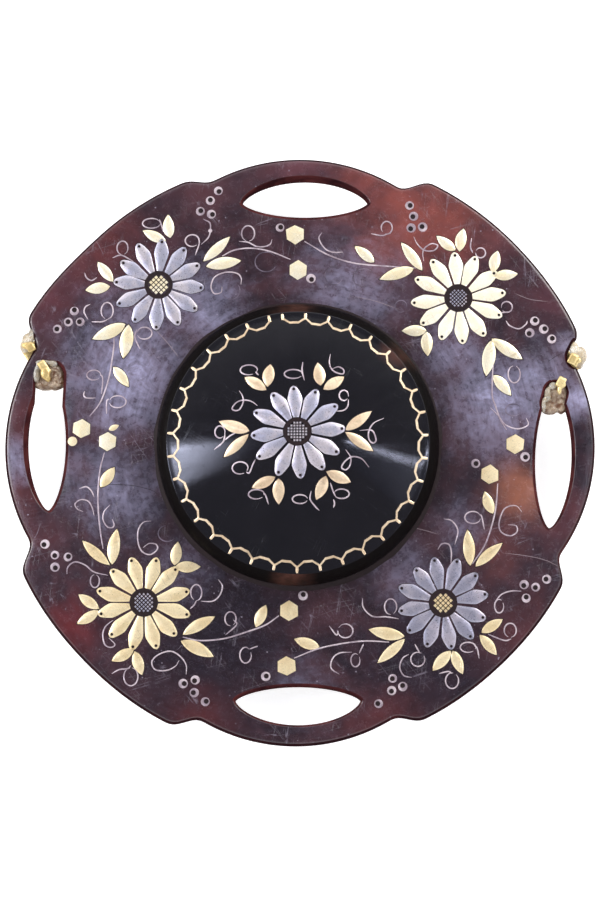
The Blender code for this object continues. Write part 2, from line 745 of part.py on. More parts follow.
def make_pin():
    """The knuckle that turns on the rivet, and the pointed stem."""
    half = KNUCKLE_WIDTH / 2
    body = bar("pin_knuckle", (0, -half, 0), (0, half, 0), KNUCKLE_RADIUS)
    knuckle = add_object(
        "pin_knuckle", body, "gilt_brass", at=(HINGE_X, PIN_Y, PIN_Z), smooth_angle=30
    )
    low = (HINGE_X + SPIGOT_START, PIN_Y, PIN_Z)
    high = (STEM_START_X - STEM_GAP, PIN_Y, PIN_Z)
    combine(knuckle, cutter("spigot", bar("spigot", low, high, SPIGOT_RADIUS, 16)), "UNION")
    low, high = (HINGE_X, PIN_Y - 2 * half, PIN_Z), (HINGE_X, PIN_Y + 2 * half, PIN_Z)
    bore = bar("knuckle_bore", low, high, BORE_RADIUS)
    combine(knuckle, cutter("knuckle_bore", bore), "DIFFERENCE")
    length = STEM_SECTIONS[-1][0]
    sections = [(place / length, radius) for place, radius in STEM_SECTIONS]
    mesh = mesh_from("pin_stem", *cylinder_points((0, 0, 0), (length, 0, 0), sections, 16))
    add_object("pin_stem", mesh, "steel", at=(STEM_START_X, PIN_Y, PIN_Z), smooth_angle=30)


def make_catch():
    """The catch fitting: strap, claws, tongue and a C hook that is open towards the pin."""
    parts = strap_parts("catch")
    parts.append(tongue_mesh("catch"))
    outer = HOOK_INNER + HOOK_BAND
    rise = STRAP_TOP_Z - JOIN_OVERLAP - PIN_Z
    turns = [math.radians(turn) for turn in range(-90, 91, 15)]
    profile = [(HOOK_LIP, -outer)]
    profile += [(outer * math.cos(turn), outer * math.sin(turn)) for turn in turns]
    profile += [(HOOK_SHANK[1], rise), (HOOK_SHANK[0], rise), (HOOK_SHANK[0], HOOK_INNER)]
    profile += [(HOOK_INNER * math.cos(turn), HOOK_INNER * math.sin(turn)) for turn in turns[::-1]]
    profile.append((HOOK_LIP, -HOOK_INNER))
    middle = sum(HOOK_X) / 2
    half = (HOOK_X[1] - HOOK_X[0]) / 2
    origin = (middle, HOOK_Y, PIN_Z)
    parts.append(swept("hook", profile, origin, (0, 1, 0), (0, 0, 1), (1, 0, 0), half))
    join_parts("catch_fitting", parts, "gilt_brass")


def make_adhesive():
    """Old adhesive that fills the top of each filed opening below its claw."""
    for name, outline in PLUGS.items():
        solid = prism(
            outline,
            lambda x, y: back_z(x, y) + PLUG_ABOVE_BACK,
            lambda x, y: front_z(x, y) - PLUG_BELOW_FRONT,
        )
        add_object(name, mesh_from(name, *solid), "adhesive")


def main():
    clear_scene()
    make_plate()
    make_boss()
    make_inlay()
    make_hinge()
    make_rivet()
    make_pin()
    make_catch()
    make_adhesive()


main()
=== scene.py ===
"""Looks of the round tortoiseshell pique brooch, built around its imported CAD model.

Sizes below are in millimetres unless a name says otherwise. x and y run across the front of the
brooch, and heights of inlay are above the shell's surface.
"""

import math
import random

import bmesh
import bpy
from mathutils import Matrix, Vector, noise


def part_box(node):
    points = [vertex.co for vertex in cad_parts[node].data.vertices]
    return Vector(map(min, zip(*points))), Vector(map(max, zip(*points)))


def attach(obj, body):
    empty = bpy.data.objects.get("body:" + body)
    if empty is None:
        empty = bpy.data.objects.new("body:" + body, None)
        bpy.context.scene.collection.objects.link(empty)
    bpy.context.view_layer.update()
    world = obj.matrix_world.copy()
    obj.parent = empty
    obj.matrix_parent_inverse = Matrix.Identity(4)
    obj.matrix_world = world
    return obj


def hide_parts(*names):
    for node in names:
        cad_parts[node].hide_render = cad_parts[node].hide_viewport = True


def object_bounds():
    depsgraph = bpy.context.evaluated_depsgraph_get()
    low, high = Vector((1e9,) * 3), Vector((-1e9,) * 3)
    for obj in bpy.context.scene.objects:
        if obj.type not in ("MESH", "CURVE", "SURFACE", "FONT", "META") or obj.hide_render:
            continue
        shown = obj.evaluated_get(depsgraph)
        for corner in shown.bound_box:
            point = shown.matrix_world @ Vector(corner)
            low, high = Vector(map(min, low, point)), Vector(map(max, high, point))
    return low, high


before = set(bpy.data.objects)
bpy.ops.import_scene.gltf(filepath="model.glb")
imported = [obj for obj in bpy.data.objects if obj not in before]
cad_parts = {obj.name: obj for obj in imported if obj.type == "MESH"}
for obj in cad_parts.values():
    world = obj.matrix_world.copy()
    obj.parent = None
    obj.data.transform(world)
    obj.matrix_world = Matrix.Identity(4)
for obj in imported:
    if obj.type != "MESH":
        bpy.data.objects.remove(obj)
CAD_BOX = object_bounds()
MM = 0.001

# ---------------------------------------------------------------- the CAD model's measures


def cad_box(node):
    """A node's lowest and highest corner, in millimetres."""
    low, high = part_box(node)
    return low / MM, high / MM


def cad_centre(node):
    """The middle of a node's box."""
    low, high = cad_box(node)
    return (low + high) / 2


def cad_disc(node):
    """The middle of a round node seen from the front, and its radius."""
    low, high = cad_box(node)
    return *cad_centre(node).xy, (high.y - low.y) / 2


PLATE_TOP = cad_box("shell_plate")[1].z
BOSS_LOW, BOSS_HIGH = cad_box("boss")
RIM_RADIUS = 30.0
PLATE_CROWN = 1.5
PLATE_THICKNESS = 1.9
BOSS_CENTRE = cad_centre("boss").xy
BOSS_RADIUS = (BOSS_HIGH.x - BOSS_LOW.x) / 2
BOSS_SHOULDER = 13.2
BOSS_SHOULDER_RISE = 2.6
BOSS_APEX_RISE = 5.0
BOSS_ROUNDING = 8.0
BOSS_EDGE_FROM = 13.1
SEAT_GAP = 0.012
BOSS_FOOT = 0.7
BOSS_WALL = 1.2
BOSS_INNER_RADII = (11.5, 8.0, 4.0, 0.4)
BOSS_STEPS = 192
BOSS_FACE_STEPS = 34
BOSS_TURN_STEPS = 14


def front_z(x, y):
    """Height of the plate's front, highest in its middle."""
    return PLATE_TOP - PLATE_CROWN * (x * x + y * y) / RIM_RADIUS**2


def back_z(x, y):
    """Height of the plate's back."""
    return front_z(x, y) - PLATE_THICKNESS


BOSS_SEAT_Z = front_z(BOSS_RADIUS, 0)


def dome_height(radius):
    """Height of the boss above its seat: a cone with a rounded top."""
    drop = math.hypot(1, radius / BOSS_ROUNDING) - 1
    full = math.hypot(1, BOSS_SHOULDER / BOSS_ROUNDING) - 1
    return BOSS_APEX_RISE - (BOSS_APEX_RISE - BOSS_SHOULDER_RISE) * drop / full


def dome_z(x, y):
    """Height of the boss's face."""
    return BOSS_SEAT_Z + dome_height(math.hypot(x - BOSS_CENTRE.x, y - BOSS_CENTRE.y))


def on_surface(place, height_of, lift):
    """A point at a place on the front, lifted above a surface."""
    x, y = place
    return x, y, height_of(x, y) + lift


def direction(turn):
    """A unit vector at an angle in radians."""
    return Vector((math.cos(turn), math.sin(turn)))


# ---------------------------------------------------------------- mesh helpers

SPLINE_STEPS = 8


def ring_faces(first, second, count, closed=True):
    """Quads between two rows of points, given by their first indices."""
    last = count if closed else count - 1
    return [
        (first + i, first + (i + 1) % count, second + (i + 1) % count, second + i)
        for i in range(last)
    ]


class Shape:
    """Points and faces of one piece, which may be many small solids."""

    def __init__(self):
        self.points = []
        self.faces = []

    def ring(self, points):
        """Adds a row of points and returns its first index."""
        first = len(self.points)
        self.points += [tuple(point) for point in points]
        return first

    def tube(self, rings):
        """A closed solid through rows of equally many points, with both ends capped."""
        count = len(rings[0])
        starts = [self.ring(points) for points in rings]
        self.faces.append(tuple(range(starts[0], starts[0] + count)))
        for a, b in zip(starts, starts[1:]):
            self.faces += ring_faces(a, b, count)
        self.faces.append(tuple(range(starts[-1], starts[-1] + count)))

    def loop(self, rings):
        """A closed solid through rows that come back to the first one, such as a ring."""
        starts = [self.ring(points) for points in rings]
        for a, b in zip(starts, starts[1:] + starts[:1]):
            self.faces += ring_faces(a, b, len(rings[0]))

    def mesh(self, name, smooth_angle=40):
        """The shape as a mesh in metres, with its faces turned outwards."""
        mesh = bpy.data.meshes.new(name)
        work = bmesh.new()
        corners = [work.verts.new(Vector(point) * MM) for point in self.points]
        for face in self.faces:
            work.faces.new([corners[i] for i in face])
        bmesh.ops.recalc_face_normals(work, faces=work.faces[:])
        work.to_mesh(mesh)
        work.free()
        mesh.shade_smooth()
        mesh.set_sharp_from_angle(angle=math.radians(smooth_angle))
        return mesh

    def piece(self, name, material, slot, replaces=(), smooth_angle=40):
        """The shape as a visible piece on the plate."""
        mesh = self.mesh(name, smooth_angle)
        return add_piece(name, mesh, material, "plate", replaces)


def placed(name, data):
    """A new object in the scene."""
    made = bpy.data.objects.new(name, data)
    bpy.context.scene.collection.objects.link(made)
    return made


def add_piece(name, mesh, material, body, replaces):
    """A visible piece that rides on a CAD body."""
    made = placed(name, mesh)
    mesh.materials.clear()
    mesh.materials.append(material)
    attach(made, body)
    if replaces:
        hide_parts(*replaces)
    return made


def circle(x, y, radius, height_of, lift, steps):
    """A row of points on a circle that follows a surface."""
    row = []
    for i in range(steps):
        turn = 2 * math.pi * i / steps
        place = (x + radius * math.cos(turn), y + radius * math.sin(turn))
        row.append(on_surface(place, height_of, lift))
    return row


def turned(x, y, profile, height_of, steps):
    """Circles round one point: the profile holds their radius and lift."""
    return [circle(x, y, radius, height_of, lift, steps) for radius, lift in profile]


def spline(points):
    """A smooth curve through the given points."""
    points = [Vector(point) for point in points]
    padded = [2 * points[0] - points[1], *points, 2 * points[-1] - points[-2]]
    curve = []
    for a, b, c, d in zip(padded, padded[1:], padded[2:], padded[3:]):
        for i in range(SPLINE_STEPS):
            t = i / SPLINE_STEPS
            curve.append(
                0.5 * (2 * b + (c - a) * t + (2 * a - 5 * b + 4 * c - d) * t * t)
                + 0.5 * (3 * b - a - 3 * c + d) * t**3
            )
    curve.append(points[-1])
    return curve


# ---------------------------------------------------------------- node trees

SCRATCH_STRETCH = 25
SPOT_RAGGEDNESS = 0.9


class Nodes:
    """The node tree of a material or a world, built by short calls."""

    def __init__(self, owner):
        owner.use_nodes = True
        self.tree = owner.node_tree

    def link(self, socket, value):
        """Connects a socket, or sets it where the value isn't one. A colour needs no alpha."""
        if isinstance(value, bpy.types.NodeSocket):
            self.tree.links.new(value, socket)
        elif socket.type == "RGBA":
            socket.default_value = (*value, 1)
        else:
            socket.default_value = value

    def node(self, kind, inputs=(), **settings):
        """A new node. Its inputs come in order, or by name or number in a dictionary."""
        made = self.tree.nodes.new(kind)
        for name, value in settings.items():
            setattr(made, name, value)
        for key, value in inputs.items() if isinstance(inputs, dict) else enumerate(inputs):
            self.link(made.inputs[key], value)
        return made

    def vector(self, operation, *values):
        made = self.node("ShaderNodeVectorMath", values, operation=operation)
        return made.outputs["Value" if operation == "DISTANCE" else "Vector"]

    def math(self, operation, *values):
        return self.node("ShaderNodeMath", values, operation=operation).outputs[0]

    def times(self, first, second):
        return self.math("MULTIPLY", first, second)

    def most(self, first, second):
        return self.math("MAXIMUM", first, second)

    def ramp(self, value, low, high, out_low=0.0, out_high=1.0):
        """A value stretched from one range to another with soft ends."""
        ends = (value, low, high, out_low, out_high)
        return self.node("ShaderNodeMapRange", ends, interpolation_type="SMOOTHSTEP").outputs[0]


class Graph(Nodes):
    """A material of the brooch. Its coordinates are in millimetres."""

    def __init__(self, name):
        self.material = bpy.data.materials.new(name)
        super().__init__(self.material)
        self.shader = self.tree.nodes["Principled BSDF"]
        coordinates = self.node("ShaderNodeTexCoord").outputs["Object"]
        self.place = self.vector("MULTIPLY", coordinates, (1 / MM, 1 / MM, 1 / MM))

    def noise(self, scale, detail=4, roughness=0.55, distortion=0.0, place=None):
        """Noise from 0 to 1, with its scale per millimetre."""
        inputs = {"Vector": place or self.place, "Scale": scale, "Detail": detail}
        inputs |= {"Roughness": roughness, "Distortion": distortion}
        return self.node("ShaderNodeTexNoise", inputs).outputs[0]

    def mix(self, factor, first, second):
        """A mix of two colours, which are the node's inputs 6 and 7."""
        inputs = {"Factor": factor, 6: first, 7: second}
        return self.node("ShaderNodeMix", inputs, data_type="RGBA").outputs[2]

    def spread(self, value):
        """One value as all three parts of a vector."""
        return self.node("ShaderNodeCombineXYZ", (value, value, value)).outputs[0]

    def reach(self, x, y):
        """Distance from a point of the front, whatever the height."""
        flat = self.vector("MULTIPLY", self.place, (1, 1, 0))
        return self.vector("DISTANCE", flat, (x, y, 0))

    def spot(self, x, y, radius, softness=1.0):
        """1 near a point on the front and 0 from its radius outwards, with a ragged edge."""
        wander = radius * SPOT_RAGGEDNESS
        ragged = self.math("MULTIPLY_ADD", self.noise(0.35, 5), wander, self.reach(x, y))
        edge = radius + wander / 2
        return self.ramp(ragged, edge, edge - radius * softness)

    def ringed(self, around, outwards):
        """Coordinates that change by one pace around the middle and by another outwards."""
        flat = self.vector("MULTIPLY", self.place, (1, 1, 0))
        turn = self.vector("MULTIPLY", self.vector("NORMALIZE", flat), (around, around, 0))
        height = {"Z": self.times(self.reach(*BOSS_CENTRE), outwards)}
        return self.vector("ADD", turn, self.node("ShaderNodeCombineXYZ", height).outputs[0])

    def scratches(self, turn, scale=0.3, width=0.006):
        """Thin straight scratches in one direction, 1 on a scratch."""
        inputs = {
            "Vector": self.place,
            "Rotation": (0, 0, math.radians(turn)),
            "Scale": (SCRATCH_STRETCH, 1, SCRATCH_STRETCH),
        }
        stretched = self.node("ShaderNodeMapping", inputs, vector_type="TEXTURE").outputs[0]
        lines = self.noise(scale * 3, 2, 0.4, 0.6, stretched)
        line = self.math("ABSOLUTE", self.math("SUBTRACT", lines, 0.5))
        broken = self.ramp(self.noise(0.35, 4, 0.6), 0.53, 0.62)
        return self.times(self.ramp(line, width, 0.0), broken)

    def pits(self, scale, size):
        """Small round dots, 1 in a dot."""
        cells = self.node("ShaderNodeTexVoronoi", {"Vector": self.place, "Scale": scale})
        return self.ramp(cells.outputs["Distance"], size, size * 0.4)

    def bump(self, height, depth):
        """Links a bump whose height runs from 0 to 1 over a depth in millimetres."""
        made = self.node("ShaderNodeBump", {"Distance": depth * MM, "Height": height})
        self.link(self.shader.inputs["Normal"], made.outputs["Normal"])

    def set(self, **values):
        """Sets or links the shader's inputs, such as base_color or roughness."""
        for name, value in values.items():
            self.link(self.shader.inputs[name.replace("_", " ").title().replace("Ior", "IOR")], value)
        return self.material


# ---------------------------------------------------------------- materials

# The shell's patches: x, y, radius, colour, strength. The first two are painted shade, nearly black,
# and the others are painted red or brown glow, where light comes through.
SHELL_PAINTED_GLOWS_AND_SHADE = (
    (-8.0, -19.0, 14.0, (0.002, 0.002, 0.005), 1.0),
    (12.0, -21.0, 10.0, (0.004, 0.003, 0.007), 0.9),
    (-20.5, 21.5, 6.5, (0.105, 0.022, 0.020), 0.9),
    (-11.0, 26.5, 5.0, (0.065, 0.024, 0.028), 0.8),
    (8.0, 27.0, 8.0, (0.180, 0.045, 0.036), 0.95),
    (14.0, 23.0, 7.5, (0.225, 0.055, 0.040), 0.95),
    (8.5, 20.5, 4.5, (0.160, 0.045, 0.038), 0.85),
    (22.0, 22.0, 5.0, (0.105, 0.032, 0.034), 0.85),
    (26.0, 15.5, 5.0, (0.070, 0.020, 0.026), 0.8),
    (0.0, 29.0, 5.0, (0.110, 0.038, 0.046), 0.85),
    (22.0, -4.2, 4.8, (0.250, 0.088, 0.050), 0.95),
    (19.5, -9.5, 4.5, (0.105, 0.030, 0.026), 0.85),
    (28.0, -8.0, 6.0, (0.075, 0.020, 0.022), 0.8),
    (-24.0, -18.0, 6.0, (0.100, 0.012, 0.012), 0.95),
    (-27.0, -9.0, 5.0, (0.070, 0.016, 0.018), 0.8),
    (-10.0, -27.0, 5.0, (0.070, 0.014, 0.014), 0.8),
    (8.0, -28.0, 6.0, (0.080, 0.018, 0.018), 0.8),
    (24.0, -18.5, 6.0, (0.075, 0.018, 0.018), 0.8),
    (-28.3, 3.0, 5.5, (0.095, 0.028, 0.030), 0.85),
    (-28.5, -4.5, 4.0, (0.080, 0.020, 0.020), 0.8),
    (-25.5, 15.5, 5.0, (0.075, 0.018, 0.022), 0.8),
)

# Bluish bloom on the worn polish, partly painted sheen and rim highlights: x, y, radius, strength.
SHELL_BLOOM_AND_SHEEN = (
    (-17.0, 8.0, 11.0, 1.0),
    (-9.5, 14.0, 7.0, 0.75),
    (5.0, 16.0, 9.0, 0.60),
    (15.0, 10.0, 6.0, 0.60),
    (19.5, 5.0, 8.5, 1.0),
    (24.0, 7.0, 6.0, 0.85),
    (-18.5, -4.0, 8.0, 0.60),
    (-12.0, -12.0, 6.0, 0.30),
    (10.0, -12.0, 6.0, 0.40),
    (16.0, -8.0, 5.0, 0.35),
    (26.4, 10.6, 2.2, 0.9),
    (27.8, 5.2, 3.2, 1.0),
    (-28.0, -1.0, 3.5, 0.75),
    (0.0, -24.0, 6.0, 0.30),
)

# Distances from the middle between which the sawn edge gets darker with painted shade.
RIM_PAINTED_SHADE = (27.9, 28.6)

# Red light in the foot of the boss: x, y, radius.
BOSS_GLOWS = ((10.9, 9.4, 2.6), (-0.5, 14.4, 3.0), (-0.9, -13.6, 3.0))


def shell_material():
    """Dark tortoiseshell with painted red glows and painted shade patches, a worn polish with painted
    bluish sheen, scratches and dust.
    """
    graph = Graph("tortoiseshell")
    clouds = graph.noise(0.22, 6, 0.6, 0.6)
    grain = graph.noise(1.7, 8, 0.7)
    wisps = graph.noise(0.55, 9, 0.68, 1.6)
    rubbed = graph.noise(1.5, 6, 0.62, 0.8, graph.ringed(2.2, 1.1))
    color = graph.mix(graph.ramp(clouds, 0.3, 0.7), (0.012, 0.006, 0.009), (0.044, 0.017, 0.021))
    # painted light: the dark patches are painted shade and the red ones painted glow through the shell
    for x, y, radius, glow, strength in SHELL_PAINTED_GLOWS_AND_SHADE:
        amount = graph.times(graph.spot(x, y, radius), strength)
        mottled = graph.times(amount, graph.ramp(clouds, 0.2, 0.75, 0.45, 1.0))
        color = graph.mix(mottled, color, glow)
    bloom_and_sheen = 0.03
    for x, y, radius, strength in SHELL_BLOOM_AND_SHEEN:
        amount = graph.times(graph.spot(x, y, radius, 1.3), strength)
        bloom_and_sheen = graph.most(amount, bloom_and_sheen)
    torn = graph.math("MULTIPLY_ADD", wisps, 0.6, graph.times(rubbed, 0.4))
    haze_and_sheen = graph.times(bloom_and_sheen, graph.ramp(torn, 0.36, 0.64, 0.30, 1.0))
    haze_and_sheen = graph.times(haze_and_sheen, graph.ramp(grain, 0.3, 0.62, 0.7, 1.05))
    # painted sheen: the bluish haze is partly the polish's bloom and partly painted light mirrored in it
    color = graph.mix(haze_and_sheen, color, (0.315, 0.30, 0.445))
    streaks = graph.most(graph.scratches(14), graph.scratches(-52, 0.25))
    streaks = graph.most(streaks, graph.scratches(81, 0.36))
    dust = graph.times(graph.pits(1.3, 0.13), graph.ramp(graph.noise(0.4, 2), 0.5, 0.6))
    marks = graph.most(graph.times(streaks, 0.5), dust)
    color = graph.mix(graph.times(marks, 0.55), color, (0.33, 0.29, 0.36))
    roughness = graph.math("MULTIPLY_ADD", haze_and_sheen, 0.3, graph.ramp(grain, 0.3, 0.7, 0.18, 0.3))
    waves = graph.math("MULTIPLY_ADD", torn, 0.7, graph.times(grain, 0.3))
    graph.bump(graph.math("SUBTRACT", waves, graph.times(marks, 0.3)), 0.035)
    return graph.set(base_color=color, roughness=roughness)


def shell_edge_material():
    """The sawn edges of the shell: dull dark red in the openings, darker round the outside with painted
    shade.
    """
    graph = Graph("shell_edge")
    clouds = graph.noise(0.5, 5, 0.6)
    color = graph.mix(graph.ramp(clouds, 0.3, 0.7), (0.022, 0.007, 0.009), (0.078, 0.020, 0.020))
    # painted shade: the outer edge is darkened towards the rim
    outside = graph.ramp(graph.reach(0, 0), *RIM_PAINTED_SHADE)
    color = graph.mix(graph.times(outside, 0.8), color, (0.012, 0.005, 0.007))
    graph.bump(graph.noise(2.5, 5), 0.03)
    rough = graph.ramp(clouds, 0.3, 0.7, 0.35, 0.55)
    return graph.set(base_color=color, roughness=rough, specular_ior_level=0.0)


def boss_material():
    """Nearly black shell with a high polish, a painted red glow near its upper right edge, and a few fine
    scratches.
    """
    graph = Graph("boss_polished")
    clouds = graph.noise(0.3, 5, 0.6)
    color = graph.mix(clouds, (0.004, 0.004, 0.006), (0.010, 0.009, 0.012))
    # painted glow: red light through the shell near the boss's upper right edge
    glow = graph.times(graph.spot(9.8, 9.4, 2.4), 0.7)
    color = graph.mix(glow, color, (0.10, 0.045, 0.035))
    scratch = graph.most(graph.scratches(-35), graph.scratches(62, 0.22))
    rubbed = graph.noise(1.2, 5, 0.6, 0.3, graph.ringed(9.0, 0.12))
    roughness = graph.math("MULTIPLY_ADD", scratch, 0.2, graph.ramp(rubbed, 0.3, 0.7, 0.05, 0.13))
    graph.bump(graph.math("MULTIPLY_ADD", scratch, -0.3, graph.noise(0.8, 3)), 0.004)
    return graph.set(base_color=color, roughness=roughness)


def boss_edge_material():
    """The boss's foot, left from the saw: dull, with red light in its thinnest parts."""
    graph = Graph("boss_edge")
    clouds = graph.noise(0.5, 5, 0.6)
    color = graph.mix(clouds, (0.001, 0.001, 0.001), (0.004, 0.002, 0.002))
    for place in BOSS_GLOWS:
        glow = graph.times(graph.spot(*place), graph.ramp(clouds, 0.3, 0.7, 0.1, 0.8))
        color = graph.mix(glow, color, (0.075, 0.030, 0.022))
    rough = graph.ramp(graph.noise(2.0, 5), 0.3, 0.7, 0.42, 0.62)
    graph.bump(clouds, 0.03)
    return graph.set(base_color=color, roughness=rough, specular_ior_level=0.04)


def metal_material(name, light, second, dark, roughness=0.34, specks=0.35, metallic=0.5):
    """Thin worked metal: two tones in soft patches, burnishing lines and dark specks."""
    graph = Graph(name)
    mottle = graph.noise(6.0, 6, 0.7)
    patches = graph.noise(0.55, 4, 0.6)
    color = graph.mix(graph.ramp(patches, 0.4, 0.62), light, second)
    shade = graph.ramp(mottle, 0.3, 0.72, 1.0, 0.8)
    grey = graph.vector("MULTIPLY", color, graph.spread(shade))
    dots = graph.times(graph.pits(3.2, 0.17), specks)
    lines = graph.most(graph.scratches(33, 0.9, 0.02), graph.scratches(-61, 0.8, 0.02))
    worn = graph.most(dots, graph.times(lines, 0.45))
    color = graph.mix(worn, grey, dark)
    rough = graph.ramp(mottle, 0.3, 0.7, roughness - 0.08, roughness + 0.1)
    hammered = graph.math("MULTIPLY_ADD", graph.noise(0.9, 3), 5.0, mottle)
    graph.bump(graph.math("MULTIPLY_ADD", lines, -0.4, hammered), 0.006)
    return graph.set(base_color=color, roughness=rough, metallic=metallic)


def dull_material(name, low, high):
    """The filling of holes, cuts and seams, and the broken surface of a scratch."""
    graph = Graph(name)
    color = graph.mix(graph.noise(3.0, 4), low, high)
    rough = graph.ramp(graph.noise(5.0, 3), 0.3, 0.7, 0.5, 0.7)
    return graph.set(base_color=color, roughness=rough, specular_ior_level=0.15)


def glue_material(name, thin, thick, transmission):
    """Old adhesive: cloudy, with bubbles and dirt in it."""
    graph = Graph(name)
    cloud = graph.noise(1.6, 6, 0.65, 1.0)
    color = graph.mix(graph.ramp(cloud, 0.40, 0.60), thin, thick)
    color = graph.mix(graph.times(graph.pits(4.0, 0.2), 0.6), color, (0.12, 0.07, 0.04))
    graph.bump(cloud, 0.02)
    rough = graph.ramp(cloud, 0.3, 0.7, 0.18, 0.4)
    return graph.set(base_color=color, roughness=rough, transmission_weight=transmission, ior=1.48)


def floor_material():
    """A pale sweep with the faintest mottle."""
    graph = Graph("pale_floor")
    color = graph.mix(graph.noise(0.02, 3), (0.60, 0.60, 0.605), (0.64, 0.64, 0.642))
    return graph.set(
        base_color=color, roughness=0.9, emission_color=(1, 1, 1), emission_strength=0.8
    )


SHELL = shell_material()
SHELL_EDGE = shell_edge_material()
BOSS_SHELL = boss_material()
BOSS_EDGE = boss_edge_material()
# painted glare: a lighter copy of the gold for the upper and left inlays
GOLD_GLARE = metal_material("gold_painted_glare", (1.0, 0.91, 0.70), (0.98, 0.84, 0.55), (0.5, 0.38, 0.2))
GOLD_PALE = metal_material(
    "gold_pale", (0.94, 0.88, 0.73), (0.92, 0.83, 0.62), (0.50, 0.38, 0.22), specks=0.2, metallic=0.25
)
GOLD_SOFT = metal_material(
    "gold_soft", (0.95, 0.79, 0.50), (0.84, 0.66, 0.38), (0.30, 0.22, 0.12), specks=0.6
)
GOLD_TAN = metal_material("gold_tan", (0.90, 0.71, 0.49), (0.74, 0.55, 0.36), (0.2, 0.13, 0.08))
SILVER = metal_material(
    "silver_leaf", (0.47, 0.46, 0.57), (0.68, 0.62, 0.67), (0.14, 0.11, 0.14), 0.32, 0.5, 0.6
)
# painted shade: a darker copy of the silver leaf for the lower right flower's petals
SILVER_SHADED = metal_material(
    "silver_painted_shade", (0.36, 0.35, 0.44), (0.54, 0.49, 0.57), (0.10, 0.08, 0.10), 0.32, 0.5, 0.6
)
WIRE = metal_material("silver_wire", (0.78, 0.66, 0.70), (0.44, 0.35, 0.40), (0.16, 0.10, 0.12))
WORN_WIRE = metal_material("worn_wire", (0.26, 0.21, 0.27), (0.10, 0.08, 0.11), (0.05, 0.04, 0.05))
GILT = metal_material(
    "gilt_fitting", (0.88, 0.70, 0.34), (0.60, 0.43, 0.17), (0.16, 0.10, 0.04), 0.38, 0.5, 0.55
)
STEEL = metal_material(
    "pin_wire", (0.66, 0.65, 0.63), (0.55, 0.53, 0.50), (0.2, 0.18, 0.16), 0.28, 0.2, 0.95
)
SEAM = dull_material("dark_seam", (0.008, 0.005, 0.006), (0.022, 0.012, 0.013))
CRACK = dull_material("hairline", (0.006, 0.004, 0.005), (0.014, 0.009, 0.010))
SCORE = dull_material("light_scratch", (0.20, 0.15, 0.16), (0.30, 0.24, 0.26))
GLUE_PALE = glue_material("glue_pale", (0.82, 0.78, 0.68), (0.56, 0.46, 0.32), 0.6)
GLUE_BROWN = glue_material("glue_brown", (0.58, 0.46, 0.34), (0.15, 0.065, 0.03), 0.45)

# ---------------------------------------------------------------- the shell plate

# Faces whose normal is flatter than this are edges, and edges sharper than this are creases.
EDGE_NORMAL_Z = 0.92
CREASE_ANGLE = 31
SIDE_ARC_RADIUS = 18.5
SIDE_ARC_OFFSET = 11.0
SIDE_ANGLES = (2.5, 90.0, 178.5, 267.7, 362.5)
LOBE_RADII = ((30.35, 30.1, 30.15), (29.6, 29.65, 30.5), (30.3, 30.05, 30.25), (29.55, 29.3, 29.45))
NOTCH_ANGLES = (19.2, 68.6, 108.6, 158.0, 199.4, 249.0, 289.9, 337.3)
NOTCH_RISE = 3.6
CORNER_SOFTNESS = 0.8
OUTLINE_STEPS = 480

# Side openings: angle, shift and half length along the side, distances of both edges and the tip
# from the middle, and how much farther out the outer edge is at the front, where it is filed.
SLOTS = (
    {"angle": -2.0, "shift": 0.1, "half": 7.0, "outer": 27.2, "inner": 23.5, "tip": 25.1, "flare": 0.1},
    {"angle": 90.0, "shift": -0.5, "half": 6.3, "outer": 27.3, "inner": 23.5, "tip": 25.0, "flare": 0.3},
    {"angle": 180.0, "shift": -0.7, "half": 6.7, "outer": 27.2, "inner": 23.4, "tip": 25.1, "flare": 0.25},
    {"angle": 270.0, "shift": -0.2, "half": 6.2, "outer": 27.4, "inner": 23.6, "tip": 25.0, "flare": 0.0},
)
SLOT_POWER = 0.68
SLOT_STEPS = 40
ROUND_STEPS = 24

# Places filed wider for the claws: ends and radius of a round-ended slot.
FILED = (
    ((-25.2, 4.4), (-25.05, 7.5), 1.42),
    ((25.3, 4.7), (25.6, 5.8), 1.1),
    ((-27.75, 10.6), (-27.9, 11.3), 1.15),
    ((27.92, 9.45), (28.35, 10.3), 1.15),
)

# How far a cut spreads past its outline at heights above the plate's back and front.
CUT_BACK = ((0.40, -0.7), (0.16, -0.03), (0.04, 0.05), (0.0, 0.2))
CUT_FRONT = (
    (0.0, -0.50), (0.03, -0.30), (0.10, -0.14), (0.20, -0.045), (0.34, 0.012), (0.70, 0.9)
)

# The rounded rim: inset from the outline, and distance from the front or back face.
RIM_FRONT = ((0.85, 0.0), (0.42, 0.01), (0.24, 0.055), (0.12, 0.15), (0.04, 0.34), (0.0, 0.65))
RIM_BACK = ((0.0, 0.62), (0.04, 0.36), (0.14, 0.16), (0.3, 0.05), (0.55, 0.0))


def smooth_step(value):
    """0 below 0, 1 above 1, and an even curve between."""
    value = min(max(value, 0.0), 1.0)
    return value * value * (3 - 2 * value)


def side_radius(angle):
    """Radius of a side rim, at an angle in degrees from the side's middle."""
    turn = math.radians(angle)
    across = SIDE_ARC_OFFSET * math.sin(turn)
    return SIDE_ARC_OFFSET * math.cos(turn) + math.sqrt(SIDE_ARC_RADIUS**2 - across**2)


def lobe_radius(lobe, share):
    """Radius of a corner lobe, whose ends bulge a little. share runs from 0 to 1 along it."""
    first, middle, last = LOBE_RADII[lobe]
    end = first if share < 0.5 else last
    return middle + (end - middle) * smooth_step(abs(2 * share - 1))


